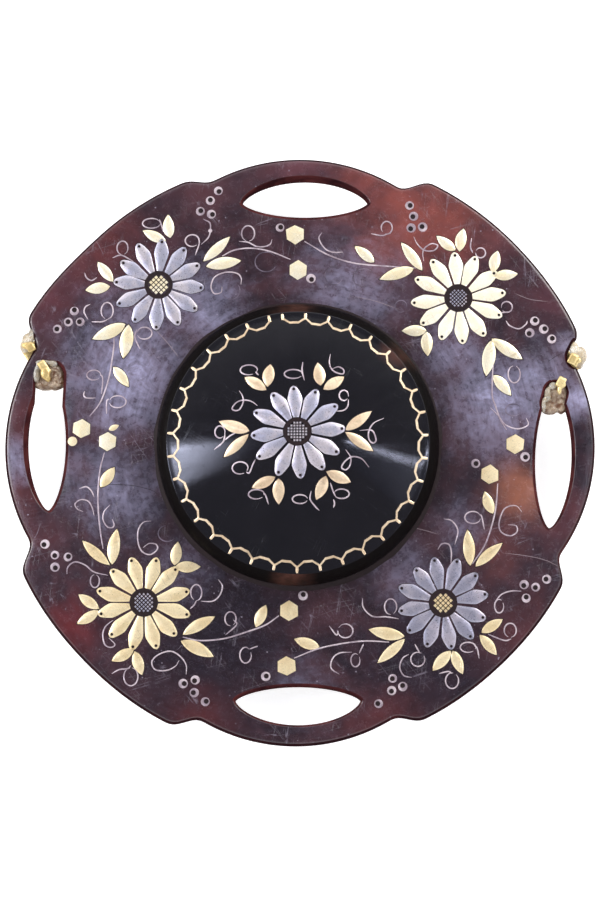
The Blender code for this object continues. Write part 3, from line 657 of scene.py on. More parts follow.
def sharp_radius(degrees):
    """Radius of the outline with sharp corners: side arcs, and lobes between the notches."""
    degrees %= 360
    quarter = int(degrees // 90)
    start, end = NOTCH_ANGLES[2 * quarter : 2 * quarter + 2]
    side = side_radius(min(abs(degrees - middle) for middle in SIDE_ANGLES))
    rise = smooth_step((degrees - start) / NOTCH_RISE) * smooth_step((end - degrees) / NOTCH_RISE)
    lobe = lobe_radius(quarter, (degrees - start) / (end - start))
    return side + (lobe - side) * rise


def outline_radius(degrees):
    """Radius of the plate's outline, with its corners worn round."""
    near = [sharp_radius(degrees + CORNER_SOFTNESS * i) for i in (-2, -1, 0, 1, 2)]
    return sum(near) / len(near)


def slot_outline(slot, flare=0.0):
    """A side opening: a lens with rounded ends, turned to its side."""
    turn = Matrix.Rotation(math.radians(slot["angle"]), 2)
    points = []
    for edge, sign in ((slot["outer"] + flare, 1), (slot["inner"], -1)):
        for i in range(SLOT_STEPS):
            share = -sign * math.cos(math.pi * i / SLOT_STEPS)
            width = (1 - share * share) ** SLOT_POWER
            out = slot["tip"] + (edge - slot["tip"]) * width
            points.append(turn @ Vector((out, slot["shift"] + slot["half"] * share)))
    return points


def round_ended(start, end, radius):
    """Outline of a slot with round ends."""
    heading = math.atan2(end[1] - start[1], end[0] - start[0])
    points = []
    for centre, base in ((end, heading - math.pi / 2), (start, heading + math.pi / 2)):
        for i in range(ROUND_STEPS + 1):
            turn = base + math.pi * i / ROUND_STEPS
            points.append(Vector(centre) + radius * direction(turn))
    return points


def widened(outline, by):
    """An outline moved outwards along its own normals."""
    moved = []
    for before, point, after in zip([outline[-1], *outline], outline, [*outline[1:], outline[0]]):
        along = (after - before).normalized()
        moved.append(point + Vector((along.y, -along.x)) * by)
    area = sum(a.cross(b) for a, b in zip(outline, [*outline[1:], outline[0]]))
    return moved if area > 0 else widened(outline[::-1], by)[::-1]


def opening_cutter(name, outline, front_outline):
    """A cutter whose mouth flares a little at both faces, which softens the opening's edges."""
    shape = Shape()
    rings = []
    for flat, height_of, levels in (
        (outline, back_z, CUT_BACK),
        (front_outline, front_z, CUT_FRONT),
    ):
        for by, lift in levels:
            rings.append([on_surface(point, height_of, lift) for point in widened(flat, by)])
    shape.tube(rings)
    return placed(name, shape.mesh(name))


def plate_mesh():
    """The domed disc with a rounded edge, before its openings are cut."""
    shape = Shape()
    rings = []

    def ring(radius_of, height_of, lift=0.0):
        row = []
        for i in range(OUTLINE_STEPS):
            degrees = 360 * i / OUTLINE_STEPS
            radius = radius_of(outline_radius(degrees))
            turn = math.radians(degrees)
            row.append(on_surface((radius * math.cos(turn), radius * math.sin(turn)), height_of, lift))
        rings.append(row)

    shares = [0.06 + 0.09 * i for i in range(10)]
    for share in shares:
        ring(lambda r: share * r, front_z)
    for inset, drop in RIM_FRONT:
        ring(lambda r: r - inset, front_z, -drop)
    for inset, rise in RIM_BACK:
        ring(lambda r: r - inset, back_z, rise)
    for share in reversed(shares):
        ring(lambda r: share * r, back_z)
    shape.tube(rings)
    return shape.mesh("shell_plate_fine", 50)


def make_plate():
    """The visible plate. Its openings are cut one by one, and the cuts are applied."""
    plate = placed("shell_plate_uncut", plate_mesh())
    cutters = []
    for slot in SLOTS:
        flared = slot_outline(slot, slot["flare"])
        cutters.append(opening_cutter("side_opening", slot_outline(slot), flared))
    for filed in FILED:
        outline = round_ended(*filed)
        cutters.append(opening_cutter("filed_opening", outline, outline))
    for cutter in cutters:
        cut = plate.modifiers.new(cutter.name, "BOOLEAN")
        cut.operation = "DIFFERENCE"
        cut.solver = "EXACT"
        cut.object = cutter
    graph = bpy.context.evaluated_depsgraph_get()
    mesh = bpy.data.meshes.new_from_object(plate.evaluated_get(graph))
    mesh.name = "shell_plate_surface"
    for used in (plate, *cutters):
        bpy.data.objects.remove(used)
    mesh.shade_smooth()
    mesh.set_sharp_from_angle(angle=math.radians(CREASE_ANGLE))
    made = add_piece("shell_plate_surface", mesh, SHELL, "plate", ["shell_plate"])
    mesh.materials.append(SHELL_EDGE)
    for face in mesh.polygons:
        face.material_index = int(abs(face.normal.z) < EDGE_NORMAL_Z)
    made.modifiers.new("even_shading", "WEIGHTED_NORMAL").keep_sharp = True


def make_boss():
    """The polished dome: face, rounded shoulder, steep wall, and an open back."""
    turn_start = BOSS_SHOULDER - 0.4
    radii = [0.15] + [turn_start * i / BOSS_FACE_STEPS for i in range(1, BOSS_FACE_STEPS)]
    profile = [(radius, dome_height(radius)) for radius in radii]
    bend = BOSS_RADIUS - turn_start
    rise = dome_height(turn_start) - BOSS_FOOT
    for i in range(BOSS_TURN_STEPS + 1):
        turn = math.radians(90 - 90 * i / BOSS_TURN_STEPS)
        profile.append((turn_start + bend * math.cos(turn), BOSS_FOOT + rise * math.sin(turn)))
    rows = []

    def ring(radius, height_of):
        rows.append(circle(*BOSS_CENTRE, radius, height_of, 0.0, BOSS_STEPS))

    for radius, height in profile:
        ring(radius, lambda x, y: BOSS_SEAT_Z + height)
    for inset in (0.0, BOSS_WALL):
        ring(BOSS_RADIUS - inset, lambda x, y: front_z(x, y) + SEAT_GAP)
    for radius in BOSS_INNER_RADII:
        ring(radius, lambda x, y: BOSS_SEAT_Z + dome_height(radius) - BOSS_WALL)
    shape = Shape()
    shape.tube(rows)
    made = shape.piece("boss_surface", BOSS_SHELL, "boss_shell", ["boss"], 60)
    made.data.materials.append(BOSS_EDGE)
    for face in made.data.polygons:
        reach = (face.center.xy / MM - BOSS_CENTRE).length
        face.material_index = int(reach > BOSS_EDGE_FROM or face.normal.z < 0)


def make_boss_shadow_seam():
    """The dark line round the boss's foot: glue and dirt, with painted shadow that widens it at its lower
    side.
    """
    profile = ((-0.15, -0.02), (-0.15, 0.30), (0.02, 0.22), (0.12, 0.08), (0.3, 0.0))
    rows = [[] for _ in profile]
    for i in range(BOSS_STEPS):
        away = direction(2 * math.pi * i / BOSS_STEPS)
        ragged = 1 + 0.5 * noise.noise(Vector((*away * 6, 0)))
        # painted shadow: the seam widens towards the lower side
        ragged += 0.7 * max(-away.y, 0)
        for row, (out, lift) in zip(rows, profile):
            reach = BOSS_RADIUS + out * (ragged if out > 0 else 1)
            row.append(on_surface(BOSS_CENTRE + away * reach, front_z, lift))
    shape = Shape()
    shape.loop(rows)
    shape.piece("boss_shadow_seam", SEAM, "boss_shell")


# ---------------------------------------------------------------- inlay builders

INLAY_LIFT = 0.035
INLAY_SUNK = -0.02
INLAY_BEVEL = 0.08
BED_LIFT = 0.008
BED_MARGIN = 0.06
HEXAGON_TURN = 30
HEXAGON_SLACK = 6


def blade(shape, start, end, widths, height_of, lift=INLAY_LIFT, sag=0.0):
    """A thin flat strip of metal along a line: widths holds share and left and right half width."""
    start, end = Vector(start), Vector(end)
    along = end - start
    across = Vector((-along.y, along.x)).normalized()
    rows = []
    for share, left, right in widths:
        middle = start + along * share + across * sag * math.sin(math.pi * share)
        row = []
        for side, height in (
            (left, INLAY_SUNK),
            (max(left - INLAY_BEVEL, left * 0.4), lift),
            (0.0, lift),
            (-max(right - INLAY_BEVEL, right * 0.4), lift),
            (-right, INLAY_SUNK),
            (0.0, INLAY_SUNK - 0.02),
        ):
            row.append(on_surface(middle + across * side, height_of, height))
        rows.append(row)
    shape.tube(rows)


def bedded(widths):
    """The same outline a little wider, for the dark line round an inlaid piece."""
    return [(share, left + BED_MARGIN, right + BED_MARGIN) for share, left, right in widths]


def wire(shape, path, height_of, width, rise, ends):
    """A drawn wire pressed into the shell along a smooth path, thinner at its ends.

    ends is the share of its width and rise that is left there.
    """
    curve = spline(path)
    rows = []
    for i, point in enumerate(curve):
        before, after = curve[max(i - 1, 0)], curve[min(i + 1, len(curve) - 1)]
        along = (after - before).normalized()
        across = Vector((-along.y, along.x))
        from_end = min(i, len(curve) - 1 - i) / (0.18 * len(curve))
        share = ends + (1 - ends) * min(from_end, 1.0)
        half = width / 2 * share
        row = []
        for side, height in ((1, INLAY_SUNK), (0.7, rise * 0.75), (0, rise), (-0.7, rise * 0.75)):
            row.append(on_surface(point + across * half * side, height_of, height * share))
        row.append(on_surface(point - across * half, height_of, INLAY_SUNK))
        rows.append(row)
    shape.tube(rows)


def polygon_plate(shape, points, height_of, low, high, bevel=INLAY_BEVEL):
    """A thin flat plate with the given outline and a soft top edge."""
    centre = sum((Vector(p) for p in points), Vector((0, 0))) / len(points)
    rows = []
    for inset, lift in ((0, low), (0, high - 0.015), (bevel, high)):
        row = []
        for point in points:
            away = Vector(point) - centre
            place = centre + away * (1 - inset / away.length)
            row.append(on_surface(place, height_of, lift))
        rows.append(row)
    shape.tube(rows)


def hexagon(x, y, radius, turn=HEXAGON_TURN, wobble=None):
    """Corners of a hexagon, each a little out of place where a random source is given."""
    points = []
    for i in range(6):
        angle = math.radians(60 * i + turn)
        reach = radius * (wobble.uniform(0.94, 1.05) if wobble else 1)
        points.append((x + reach * math.cos(angle), y + reach * math.sin(angle)))
    return points


# ---------------------------------------------------------------- flowers

PETALS = 12
# Half a petal's width at distances from the flower's middle.
PETAL_PROFILE = (
    (1.42, 0.31), (1.8, 0.41), (2.4, 0.56), (2.9, 0.685), (3.2, 0.745), (3.45, 0.755), (3.7, 0.70),
    (4.0, 0.61), (4.3, 0.50), (4.5, 0.41), (4.65, 0.31), (4.75, 0.18), (4.8, 0.04),
)
# Random differences between petals: turn in degrees, share of the length, lean and hole's place.
PETAL_TURN = 1.4
PETAL_LENGTHS = (0.965, 1.015)
PETAL_LEAN = 0.07
HOLE_WANDER = 0.05
THINNEST = 0.02
HOLE_AT = 4.45
HOLE_RADIUS = 0.145
HOLE_STEPS = 16
# The raised rim of a drilled hole: distance outside the hole, and height.
HOLE_RIM = ((0.075, 0.0), (0.05, 0.06), (0.02, 0.06), (-0.01, 0.0))
HATCH_RADIUS = 0.97
FLOWERS = {
    "nw": {"turn": -3.5, "petals": SILVER, "slot": "silver_inlay", "tip": 4.7},
    "ne": {"turn": 6.0, "petals": GOLD_PALE, "slot": "gold_inlay", "tip": 4.75},
    "sw": {"turn": 15.0, "petals": GOLD_SOFT, "slot": "gold_inlay", "tip": 4.8},
    "se": {"turn": 10.0, "petals": SILVER_SHADED, "slot": "silver_inlay", "tip": 4.65},
    "boss": {"turn": 4.0, "petals": SILVER, "slot": "silver_inlay", "tip": 4.75},
}
CENTRE_RING = 1.41
CENTRE_STEPS = 40
# Flower centres: metal, turn of the hatching in degrees, its pitch, and the share of each pad.
CENTRES = {
    "nw": (GOLD_GLARE, 45, 0.36, 0.76),
    "ne": (SILVER, 45, 0.27, 0.58),
    "sw": (SILVER, 45, 0.29, 0.60),
    "se": (GOLD_SOFT, 45, 0.36, 0.76),
    "boss": (SILVER, 0, 0.29, 0.62),
}


def surface_for(place):
    """The surface that an inlay lies on."""
    return dome_z if place == "boss" else front_z


def make_flower(place, flower, chance, beds):
    """Twelve petals with a drilled hole near each tip."""
    centre = cad_centre(f"flower_{place}_centre").xy
    height_of = surface_for(place)
    petals, holes, rims = Shape(), Shape(), Shape()
    scale = flower["tip"] / PETAL_PROFILE[-1][0]
    for k in range(PETALS):
        turn = math.radians(flower["turn"] + 360 / PETALS * k + chance.uniform(-PETAL_TURN, PETAL_TURN))
        along = direction(turn)
        across = Vector((-along.y, along.x))
        length = scale * chance.uniform(*PETAL_LENGTHS)
        lean = chance.uniform(-PETAL_LEAN, PETAL_LEAN)
        first, last = PETAL_PROFILE[0][0], PETAL_PROFILE[-1][0]
        widths = []
        for radius, half in PETAL_PROFILE:
            share = (radius - first) / (last - first)
            shift = lean * math.sin(math.pi * share)
            widths.append((share, max(half + shift, THINNEST), max(half - shift, THINNEST)))
        start, end = centre + along * first, centre + along * last * length
        blade(petals, start, end, widths, height_of)
        blade(beds, start, end + along * BED_MARGIN, bedded(widths), height_of, BED_LIFT)
        aside = across * chance.uniform(-HOLE_WANDER, HOLE_WANDER)
        hole = centre + along * HOLE_AT * length + aside
        rim = [(HOLE_RADIUS + out, lift) for out, lift in HOLE_RIM]
        rims.loop(turned(*hole, rim, height_of, HOLE_STEPS))
        core = [(HOLE_RADIUS, 0.0), (HOLE_RADIUS, INLAY_LIFT + 0.006)]
        holes.tube(turned(*hole, core, height_of, HOLE_STEPS))
    name = f"flower_{place}"
    petals.piece(name + "_petal_leaf", flower["petals"], flower["slot"], [name + "_petals"])
    rims.piece(name + "_hole_rims", flower["petals"], flower["slot"])
    holes.piece(name + "_holes", SEAM, "shell")


def make_flower_centre(place):
    """The hatched middle: square pads of metal on a dark ground inside a hexagon."""
    node = f"flower_{place}_centre"
    x, y, radius = cad_disc(node)
    metal, turn, pitch, share = CENTRES[place]
    height_of = surface_for(place)
    ground = Shape()
    polygon_plate(ground, hexagon(x, y, radius * 1.04), height_of, INLAY_SUNK, 0.012)
    ring = ((CENTRE_RING, INLAY_SUNK), (CENTRE_RING - 0.03, BED_LIFT))
    ring += ((radius * 1.02, BED_LIFT), (radius, INLAY_SUNK))
    ground.loop(turned(x, y, ring, height_of, CENTRE_STEPS))
    ground.piece(node + "_ground", SEAM, "shell")
    pads = Shape()
    spin = Matrix.Rotation(math.radians(turn), 2)
    reach = math.ceil(HATCH_RADIUS / pitch)
    for i in range(-reach, reach + 1):
        for j in range(-reach, reach + 1):
            middle = spin @ Vector((i * pitch, j * pitch))
            if middle.length > HATCH_RADIUS:
                continue
            half = pitch * share / 2
            corners = ((half, half), (-half, half), (-half, -half), (half, -half))
            pad = [Vector((x, y)) + middle + spin @ Vector(corner) for corner in corners]
            polygon_plate(pads, pad, height_of, 0.0, INLAY_LIFT + 0.01, 0.02)
    slot = "gold_inlay" if metal in (GOLD_GLARE, GOLD_SOFT) else "silver_inlay"
    pads.piece(node + "_hatch", metal, slot, [node])


# ---------------------------------------------------------------- leaves and hexagons

# Centre x and y, heading in degrees, length and width.
LEAVES = {
    "nw": [
        [(-14.62, 21.62, 154, 2.55, 1.1), (-13.13, 22.59, 95, 2.4, 1.2)],
        [(-19.5, 17.98, 127, 2.56, 1.1), (-20.27, 16.3, 188, 2.5, 1.2)],
        [(-8.35, 20.23, 43, 3.65, 1.1), (-7.65, 18.74, 9, 3.55, 1.3)],
        [(-19.12, 11.9, 204, 3.63, 1.4), (-17.4, 10.88, 261, 3.45, 1.4)],
        [(-17.87, 7.31, -53, 2.55, 1.1)],
    ],
    "ne": [
        [(14.63, 20.87, 142, 2.38, 1.1), (16.2, 21.2, 79, 2.39, 1.2)],
        [(19.58, 19.0, 77, 2.33, 1.2), (20.63, 17.65, 6, 2.42, 1.15)],
        [(11.2, 19.48, 126, 3.52, 1.15), (9.67, 17.7, 198, 3.6, 1.25)],
        [(6.46, 19.7, 139, 2.53, 1.1)],
        [(11.4, 11.94, 181, 2.46, 1.2), (12.7, 10.6, -88, 2.46, 1.25)],
        [(18.87, 9.19, 261, 3.64, 1.4), (20.7, 10.15, -34, 3.67, 1.3)],
        [(20.2, 6.46, -50, 2.68, 1.2)],
    ],
    "sw": [
        [(-20.3, -10.3, 138, 3.65, 1.1), (-18.46, -9.7, 82, 3.57, 1.3)],
        [(-12.3, -10.4, 81, 2.37, 1.2), (-11.14, -11.73, 0, 2.52, 1.2)],
        [(-21.0, -15.15, 145, 2.5, 1.1), (-21.1, -16.7, 211, 2.5, 1.1)],
        [(-17.6, -20.45, 208, 2.5, 1.15), (-16.06, -21.27, -73, 2.46, 1.2)],
        [(-10.05, -17.57, 29, 3.64, 1.2), (-10.2, -19.87, -26, 3.6, 1.3)],
        [(-19.18, -2.78, 55, 2.44, 1.2)],
        [(-3.88, -16.63, 65, 2.42, 1.15)],
    ],
    "se": [
        [(16.8, -9.8, 94, 3.58, 1.25), (18.8, -10.5, 41, 3.56, 1.1)],
        [(19.1, -17.57, 32, 2.48, 1.1), (18.7, -19.46, -50, 2.58, 1.1)],
        [(14.08, -21.04, 227, 2.66, 1.2), (15.66, -21.2, -67, 2.5, 1.15)],
        [(8.6, -18.3, 169, 3.6, 1.3), (9.05, -20.08, 221, 3.6, 1.1)],
        [(18.8, -5.3, 110, 2.36, 1.15)],
        [(0.68, -19.3, 162, 2.63, 1.15)],
    ],
    "boss": [
        [(-4.4, 6.1, 148, 2.52, 1.15), (-3.07, 6.9, 82, 2.3, 1.25)],
        [(1.9, 7.05, 97, 2.34, 1.25), (3.34, 6.15, 32, 2.42, 1.15)],
        [(5.8, 2.4, 37, 3.2, 1.1), (5.85, 0.3, -34, 3.27, 1.1)],
        [(-6.5, 1.85, 161, 3.15, 1.25), (-6.3, -0.1, 222, 3.3, 1.05)],
        [(-3.6, -3.75, 204, 2.5, 1.1), (-2.1, -4.65, -90, 2.5, 1.25)],
        [(2.08, -4.3, 247, 2.5, 1.2), (3.8, -3.2, -23, 2.59, 1.2)],
    ],
}
# painted glare: the upper leaves take the lighter gold
LEAF_METALS = {
    "nw": GOLD_GLARE,
    "ne": GOLD_GLARE,
    "sw": GOLD_SOFT,
    "se": GOLD_SOFT,
    "boss": GOLD_TAN,
}
LEAF_STEPS = 16
LEAF_FULLNESS = 0.72
LEAF_LEAN = 0.04


def leaf_widths(width, chance):
    """Half widths along a leaf: fuller towards its stalk, and pointed at both ends."""
    fuller = chance.uniform(0.44, 0.5)
    widths = []
    for i in range(LEAF_STEPS + 1):
        share = i / LEAF_STEPS
        bent = share ** (math.log(0.5) / math.log(fuller))
        half = width / 2 * math.sin(math.pi * bent) ** LEAF_FULLNESS
        sides = (half * (1 + LEAF_LEAN), half * (1 - LEAF_LEAN))
        widths.append((share, *(max(side, THINNEST) for side in sides)))
    return widths


def make_leaves(place, chance, beds):
    """The leaves of one place, one piece for each group."""
    for number, group in enumerate(LEAVES[place], 1):
        shape = Shape()
        for x, y, heading, length, width in group:
            reach = direction(math.radians(heading)) * length / 2
            middle = Vector((x, y))
            sag = chance.uniform(-0.05, 0.05)
            widths = leaf_widths(width, chance)
            surface = surface_for(place)
            blade(shape, middle - reach, middle + reach, widths, surface, sag=sag)
            reach *= 1 + BED_MARGIN
            blade(beds, middle - reach, middle + reach, bedded(widths), surface, BED_LIFT, sag)
        stands_for = [f"leaves_{place}_{number}"]
        shape.piece(f"leaf_group_{place}_{number}", LEAF_METALS[place], "gold_inlay", stands_for)


def make_small_leaf():
    """The one small leaf beside the west hexagons."""
    shape = Shape()
    widths = leaf_widths(0.6, random.Random(3))
    blade(shape, (-19.06, 1.97), (-18.06, 2.43), widths, front_z)
    shape.piece("small_leaf_west", GOLD_SOFT, "gold_inlay")


def make_hexagons(chance, beds):
    """The plain gold hexagons at the four sides."""
    for name in ("north", "west", "south", "east"):
        for row in ("outer", "inner"):
            node = f"hexagon_{name}_{row}"
            x, y, radius = cad_disc(node)
            shape = Shape()
            turn = HEXAGON_TURN + chance.uniform(-HEXAGON_SLACK, HEXAGON_SLACK)
            polygon_plate(shape, hexagon(x, y, radius, turn, chance), front_z, INLAY_SUNK, INLAY_LIFT)
            bed = hexagon(x, y, radius + BED_MARGIN, turn)
            polygon_plate(beds, bed, front_z, INLAY_SUNK, BED_LIFT)
            # painted glare: the north and west hexagons take the lighter gold
            metal = GOLD_GLARE if name in ("north", "west") else GOLD_SOFT
            shape.piece(f"hexagon_plate_{name}_{row}", metal, "gold_inlay", [node])


# ---------------------------------------------------------------- ring studs

STUDS = (
    (-8.2, 26.2), (-9.0, 25.2), (-10.0, 24.1), (-8.9, 23.8), (-22.6, 14.0), (-23.2, 12.9),
    (-22.0, 12.9), (-24.3, 12.2), (-2.0, 22.4), (11.0, 24.7), (11.4, 23.6), (11.15, 22.4),
    (12.3, 22.5), (23.5, 13.0), (24.4, 12.2), (23.0, 11.8), (25.2, 11.2), (1.1, 17.2),
    (-25.4, -9.4), (-24.4, -10.5), (-23.1, -10.7), (-24.4, -11.7), (-10.4, -22.95),
    (-11.6, -23.3), (-10.5, -24.2), (-9.4, -25.1), (-3.4, -22.6), (0.3, -14.6),
    (24.56, -12.9), (22.3, -13.45), (23.45, -13.7), (22.5, -14.8), (9.2, -22.8),
    (10.2, -23.6), (9.1, -24.0), (7.8, -25.3), (22.45, -0.7), (17.5, -1.4),
)
STUD_RADIUS = 0.48
STUD_HOLE = 0.23
STUD_RISE = 0.055
STUD_STEPS = 24
GOLD_STUD = (-22.7, 0.85, 0.47)


def make_studs(chance):
    """Short silver tubes set upright in the shell, each with an off-centre dark hole."""
    rings, cores = Shape(), Shape()
    for x, y in STUDS:
        turn = chance.uniform(0, 2 * math.pi)
        off = chance.uniform(0.04, 0.13)
        hole = (x + off * math.cos(turn), y + off * math.sin(turn))
        radius = STUD_RADIUS * chance.uniform(0.93, 1.04)
        outside = ((radius, INLAY_SUNK), (radius - 0.06, STUD_RISE))
        inside = ((STUD_HOLE + 0.04, STUD_RISE), (STUD_HOLE, INLAY_SUNK))
        rows = turned(x, y, outside, front_z, STUD_STEPS)
        rings.loop(rows + turned(*hole, inside, front_z, STUD_STEPS))
        core = [(STUD_HOLE + 0.02, lift) for lift in (INLAY_SUNK, 0.012)]
        cores.tube(turned(*hole, core, front_z, HOLE_STEPS))
    rings.piece("ring_studs", WIRE, "silver_inlay")
    cores.piece("ring_stud_cores", SEAM, "shell")
    stud = Shape()
    outline = [point[:2] for point in circle(*GOLD_STUD, front_z, 0, 20)]
    polygon_plate(stud, outline, front_z, INLAY_SUNK, 0.05)
    stud.piece("gold_stud", GOLD_GLARE, "gold_inlay")


# ---------------------------------------------------------------- stems and tendrils

CURL_STEPS = 10
BEAD = (-9.0, 22.1, 0.2)


def curl(x, y, rx, ry, start, turn=330):
    """Points of an open loop round a centre, from a start angle in degrees."""
    points = []
    for i in range(CURL_STEPS + 1):
        angle = math.radians(start + turn * i / CURL_STEPS)
        points.append((x + rx * math.cos(angle), y + ry * math.sin(angle)))
    return points


STEMS = (
    [(-18.6, 11.4), (-18.6, 10.4), (-18.8, 8.9), (-19.0, 7.6), (-19.4, 6.1), (-20, 4.65), (-21, 3.35)],
    [(-7.8, 19.5), (-6.6, 20.1), (-4.95, 20.3), (-3.1, 20), (-0.95, 19.15)],
    [(11.6, 18.3), (8.2, 18.5), (5.3, 18.8), (2.85, 19.6), (0.44, 21)],
    [(19.3, 8.6), (19.2, 6.9), (19.2, 5.35), (19.5, 4.4), (20, 3), (20.6, 2)],
    [(-19.5, -0.3), (-19.9, -1.9), (-20.1, -3.8), (-20.1, -5.8), (-19.9, -7.9), (-19.6, -9.9)],
    [(-11.65, -18.7), (-9.95, -19.05), (-7.5, -18.85), (-5, -18.1), (-3.4, -17.5), (-2.1, -16.6)],
    [(17.15, -11.4), (18.3, -9.7), (19, -7.9), (19.5, -5.8), (19.7, -3.4)],
    [(8.85, -19.2), (6.4, -19.1), (3.9, -19.4), (1.7, -19.9), (-0.6, -20.8)],
)

